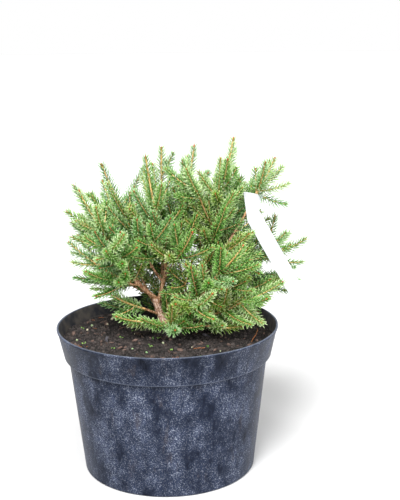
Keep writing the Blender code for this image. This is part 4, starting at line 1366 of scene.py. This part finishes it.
def needle_shape():
    """One needle along +X, a unit long and wide, that bends towards +Z."""
    bm = bmesh.new()
    bmesh.ops.create_circle(bm, segments=4, radius=0.5, matrix=Matrix.Rotation(math.pi / 2, 4, "Y"))
    front = bm.edges[:]
    for forward, scale in NEEDLE_RINGS:
        grown = bmesh.ops.extrude_edge_only(bm, edges=front)["geom"]
        ring = [part for part in grown if isinstance(part, bmesh.types.BMVert)]
        front = [part for part in grown if isinstance(part, bmesh.types.BMEdge)]
        bmesh.ops.translate(bm, vec=(forward, 0, 0), verts=ring)
        middle = Matrix.Translation((ring[0].co.x, 0, 0))
        bmesh.ops.scale(bm, vec=(1, scale, scale), verts=ring, space=middle.inverted())
    widest = NEEDLE_RINGS[0][1]
    bmesh.ops.scale(bm, vec=(1, 1 / widest, 1 / widest), verts=bm.verts)
    bmesh.ops.remove_doubles(bm, verts=bm.verts, dist=0.02)
    bmesh.ops.contextual_create(bm, geom=[edge for edge in bm.edges if len(edge.link_faces) == 1])
    for vertex in bm.verts:
        vertex.co.z += NEEDLE_BEND * vertex.co.x**2
    bmesh.ops.recalc_face_normals(bm, faces=bm.faces)
    bmesh.ops.triangulate(bm, faces=bm.faces)
    return bm


def unit(ways):
    """The directions of those ways, one to a row."""
    return ways / np.linalg.norm(ways, axis=1)[:, None]


def needles_of(shoot, rng):
    """The matrices and places of a shoot's needles."""
    foot, control, tip = (np.array(point) for point in shoot_curve(shoot))
    length = (shoot.end - shoot.start).length
    count = round(length / MM * NEEDLES_PER_MM * (OLDER_SHARE if shoot.years > 1 else 1))
    evenly = (np.arange(count) + rng.normal(0.5, NEEDLE_SCATTER, count)) / count
    share = (NEEDLES_FROM + (1 - NEEDLES_FROM) * evenly)[:, None]
    point = on_curve(foot, control, tip, share)
    along = unit((control - foot) * (1 - share) + (tip - control) * share)
    side = np.cross(along, (0, 0, 1))
    steep = np.linalg.norm(side, axis=1)[:, None]
    side = np.where(steep > UPRIGHT, side / np.maximum(steep, 1e-6), (1, 0, 0))
    lift = unit(np.cross(side, along))
    spin = np.arange(count) * GOLDEN + rng.normal(0, GOLDEN_SCATTER, count)
    level = 1 - abs(along[:, 2])
    parting = PARTING[0] + PARTING[1] * np.clip((level - PARTS_FROM) / PARTS_OVER, 0, 1)
    spin = (spin - parting * np.sin(2 * spin))[:, None]
    out = side * np.cos(spin) + lift * np.sin(spin)
    swept = TOP_SWEEP * level[:, None] * abs(np.sin(spin))
    lean = np.radians(FOOT_LEAN - TIP_SWEEP * share**2 - swept + rng.normal(0, LEAN_SCATTER, (count, 1)))
    way = unit(out * np.sin(lean) + along * np.cos(lean) + np.array((0, 0, NEEDLE_LIFT)))
    bend = unit(along - way * (along * way).sum(1)[:, None])
    broad = np.cross(bend, way)
    longest = LONGEST - TIP_SHORTENS * share**3 - FOOT_SHORTENS * (1 - share) ** 6
    size = NEEDLE * longest * rng.uniform(*NEEDLE_RANGE, (count, 1))
    frames = np.stack([way * size, broad * NEEDLE_WIDTH, bend * NEEDLE_THICKNESS], axis=2)
    radius = shoot.foot_radius + (shoot.tip_radius - shoot.foot_radius) * share
    feet = point + out * radius * NEEDLE_FOOT
    over, foot_side = over_tag(feet + way * size / 2, size[:, 0] / 2, tag)
    tip_side = over_tag(feet + way * size, 0, tag)[1]
    keep = ~(over & ((foot_side < TAG_THICKNESS) != (tip_side < -TAG_CLEAR)))
    return frames[keep], feet[keep]


def green_of(shoot, rng, lift):
    """A shoot's green: painted shade low down and inside, painted light near the outside of the crown."""
    out = shoot.end - UP * SOIL_TOP - CROWN_CENTRE
    depth = math.sqrt(sum((way / full) ** 2 for way, full in zip(out, CROWN_REACH)))
    # The score: painted light outwards, upwards and on shoots that stand out, less on older shoots, and
    # chance.
    lit_and_fresh = depth + UPWARDS * out.z / CROWN_REACH.z + rng.gauss(0, CHANCE)
    lit_and_fresh = lit_and_fresh - (OLDER if shoot.years > 1 else 0) + lift
    if rng.random() < ODD_SHARE:
        return "bluish" if lit_and_fresh > ODD_LIMIT else "olive"
    for limit, name in GREEN_LIMITS:
        if lit_and_fresh < limit:
            return name
    return "lit_and_fresh"


dealt = {name: [] for name in GREENS}
dealer = random.Random(NEEDLE_SEED)
spinner = np.random.default_rng(NEEDLE_SEED)
for shoot in shoots:
    frames, feet = needles_of(shoot, spinner)
    # Shoots that stand out get painted light: a higher score and a paler tone.
    lift, paler = (STAND_OUT_LIGHT, STAND_OUT_LIGHT_TONE) if shoot in front_shoots else (0, 0)
    height = (shoot.end.z - SOIL_TOP - CROWN_CENTRE.z) / CROWN_REACH.z
    # The tone differs at random from shoot to shoot and is paler near the top of the crown, as painted
    # light.
    tone = spinner.uniform(*TONES) + paler + PAINTED_TOP_LIGHT * max(0.0, height) ** 2
    tones = tone + spinner.normal(0, NEEDLE_TONES, len(frames))
    dealt[green_of(shoot, dealer, lift)].append((frames, feet, tones))
for name, sprays in dealt.items():
    frames, places, tones = (np.concatenate(parts) for parts in zip(*sprays))
    mesh = copies(needle_shape(), frames, places, tones)
    add_piece(f"needles_{name}", mesh, [needle_finish(name, *GREENS[name])], foliage_nodes)

# Buds
# Small egg-shaped buds under dry red-brown scales, one at each shoot's tip with a smaller one at each side
# behind it. They are copies of one turned bud.
BUD_LENGTH = 3.2 * MM
BUD_WIDTH = 2.0 * MM
BUD_TAPER = 0.5
BUD_OUT = 0.35  # from the point that it grows on to its middle, as a share of its length
BUD_RANGE = (0.8, 1.1)
SLIM_BUD = 0.75  # the share of that size on a shoot that is thinner than STOUT
STOUT = MM

# Each bud's turn from the shoot's heading, its size, and how far it is behind the tip in mm.
BUDS = ((0, 1.0, 0.0), (0.7, 0.75, 1.0), (-0.7, 0.75, 1.4))


def bud_shape():
    """One pointed bud along +X, a unit long and wide."""
    bm = bmesh.new()
    bmesh.ops.create_uvsphere(bm, u_segments=6, v_segments=5, radius=0.5)
    for vertex in bm.verts:
        vertex.co.xy *= 1 - BUD_TAPER * max(0.0, vertex.co.z)
    bmesh.ops.rotate(bm, cent=(0, 0, 0), matrix=Matrix.Rotation(math.pi / 2, 3, "Y"), verts=bm.verts)
    bmesh.ops.triangulate(bm, faces=bm.faces)
    return bm


frames, places = [], []
rng = random.Random(NEEDLE_SEED)
for shoot in shoots:
    foot, control, tip = shoot_curve(shoot)
    heading = (tip - control).normalized()
    side = turned_away(heading, math.pi / 2, rng.uniform(0, math.tau))
    side = (side - heading * side.dot(heading)).normalized()
    for angle, size, back in BUDS:
        way = heading * math.cos(angle) + side * math.sin(angle)
        across = way.orthogonal().normalized()
        size *= rng.uniform(*BUD_RANGE) * (SLIM_BUD if shoot.foot_radius < STOUT else 1)
        columns = (way * BUD_LENGTH * size, across * BUD_WIDTH * size, way.cross(across) * BUD_WIDTH * size)
        frames.append(np.array(columns).T)
        places.append(tip - heading * back * MM + way * BUD_LENGTH * BUD_OUT * size)
scales = plain_finish("bud_scales", "#8a3f1c", "#c0703a", 3 * MM, 0.55)
add_piece("buds", copies(bud_shape(), np.array(frames), places), [scales])

# Camera, lights and floor
# The plant stands on plain white paper and is seen from a metre away and a little above its rim. The light
# of the white studio is soft: a key light from the front left, a weaker one from the right, and the sky.
CAMERA_REACH = 1.0
CAMERA_RISE = math.radians(16.79)
CAMERA_YAW = math.radians(2.026)
CAMERA_PITCH = math.radians(12.56)
CAMERA_ROLL = math.radians(-0.59)
CAMERA_LENS = 70.2
CAMERA_SENSOR = 36

rim_centre = Vector((0, 0, POT_HEIGHT))
place = rim_centre + Vector((0, -math.cos(CAMERA_RISE), math.sin(CAMERA_RISE))) * CAMERA_REACH
level = Vector((math.sin(CAMERA_YAW), math.cos(CAMERA_YAW), 0))
forward = level * math.cos(CAMERA_PITCH) - UP * math.sin(CAMERA_PITCH)
right = forward.cross(UP).normalized()
above = right.cross(forward)
tilted_right = right * math.cos(CAMERA_ROLL) + above * math.sin(CAMERA_ROLL)
tilted_above = above * math.cos(CAMERA_ROLL) - right * math.sin(CAMERA_ROLL)
turn = Matrix((tilted_right, tilted_above, -forward)).transposed()
camera = in_scene("camera", bpy.data.cameras.new("camera"))
camera.data.lens = CAMERA_LENS
camera.data.sensor_fit = "VERTICAL"
camera.data.sensor_height = CAMERA_SENSOR
camera.matrix_world = Matrix.Translation(place) @ turn.to_4x4()
bpy.context.scene.camera = camera


def soft_sun(name, bearing, rise, strength, spread):
    """Soft even light that comes from that bearing and rise, and over that spread, all in degrees."""
    lamp = bpy.data.lights.new(name, "SUN")
    lamp.energy = strength
    lamp.angle = math.radians(spread)
    in_scene(name, lamp).rotation_euler = pointing(bearing, rise).to_track_quat("Z", "Y").to_euler()


soft_sun("key", bearing=251, rise=50, strength=5.2, spread=25)
soft_sun("fill", bearing=312, rise=30, strength=2.8, spread=60)

bm = bmesh.new()
bmesh.ops.create_grid(bm, x_segments=1, y_segments=1, size=20)
floor = in_scene("floor", as_mesh("floor", bm))
paper = new_material("white_paper", 0.9, Base_Color=linear("#cfcfcf"))[0]
floor.data.materials.append(paper)

# The studio's white light is dimmer from overhead than from the sides.
world = bpy.data.worlds.new("studio")
bpy.context.scene.world = world
world.use_nodes = True
sky = world.node_tree.nodes["Background"]
sky.inputs["Strength"].default_value = 1.0
upwards = add(world.node_tree, "TexCoord").outputs["Generated"]
way_up = add(world.node_tree, "SeparateXYZ", {}, {0: upwards})
dimmer = add(
    world.node_tree, "ValToRGB", {"stops": [(0.04, "#ffffff"), (0.3, "#b0b0b0")]},
    {"Fac": way_up.outputs["Z"]},
)
join(sky, {"Color": dimmer})
bpy.context.scene.view_settings.view_transform = "Standard"
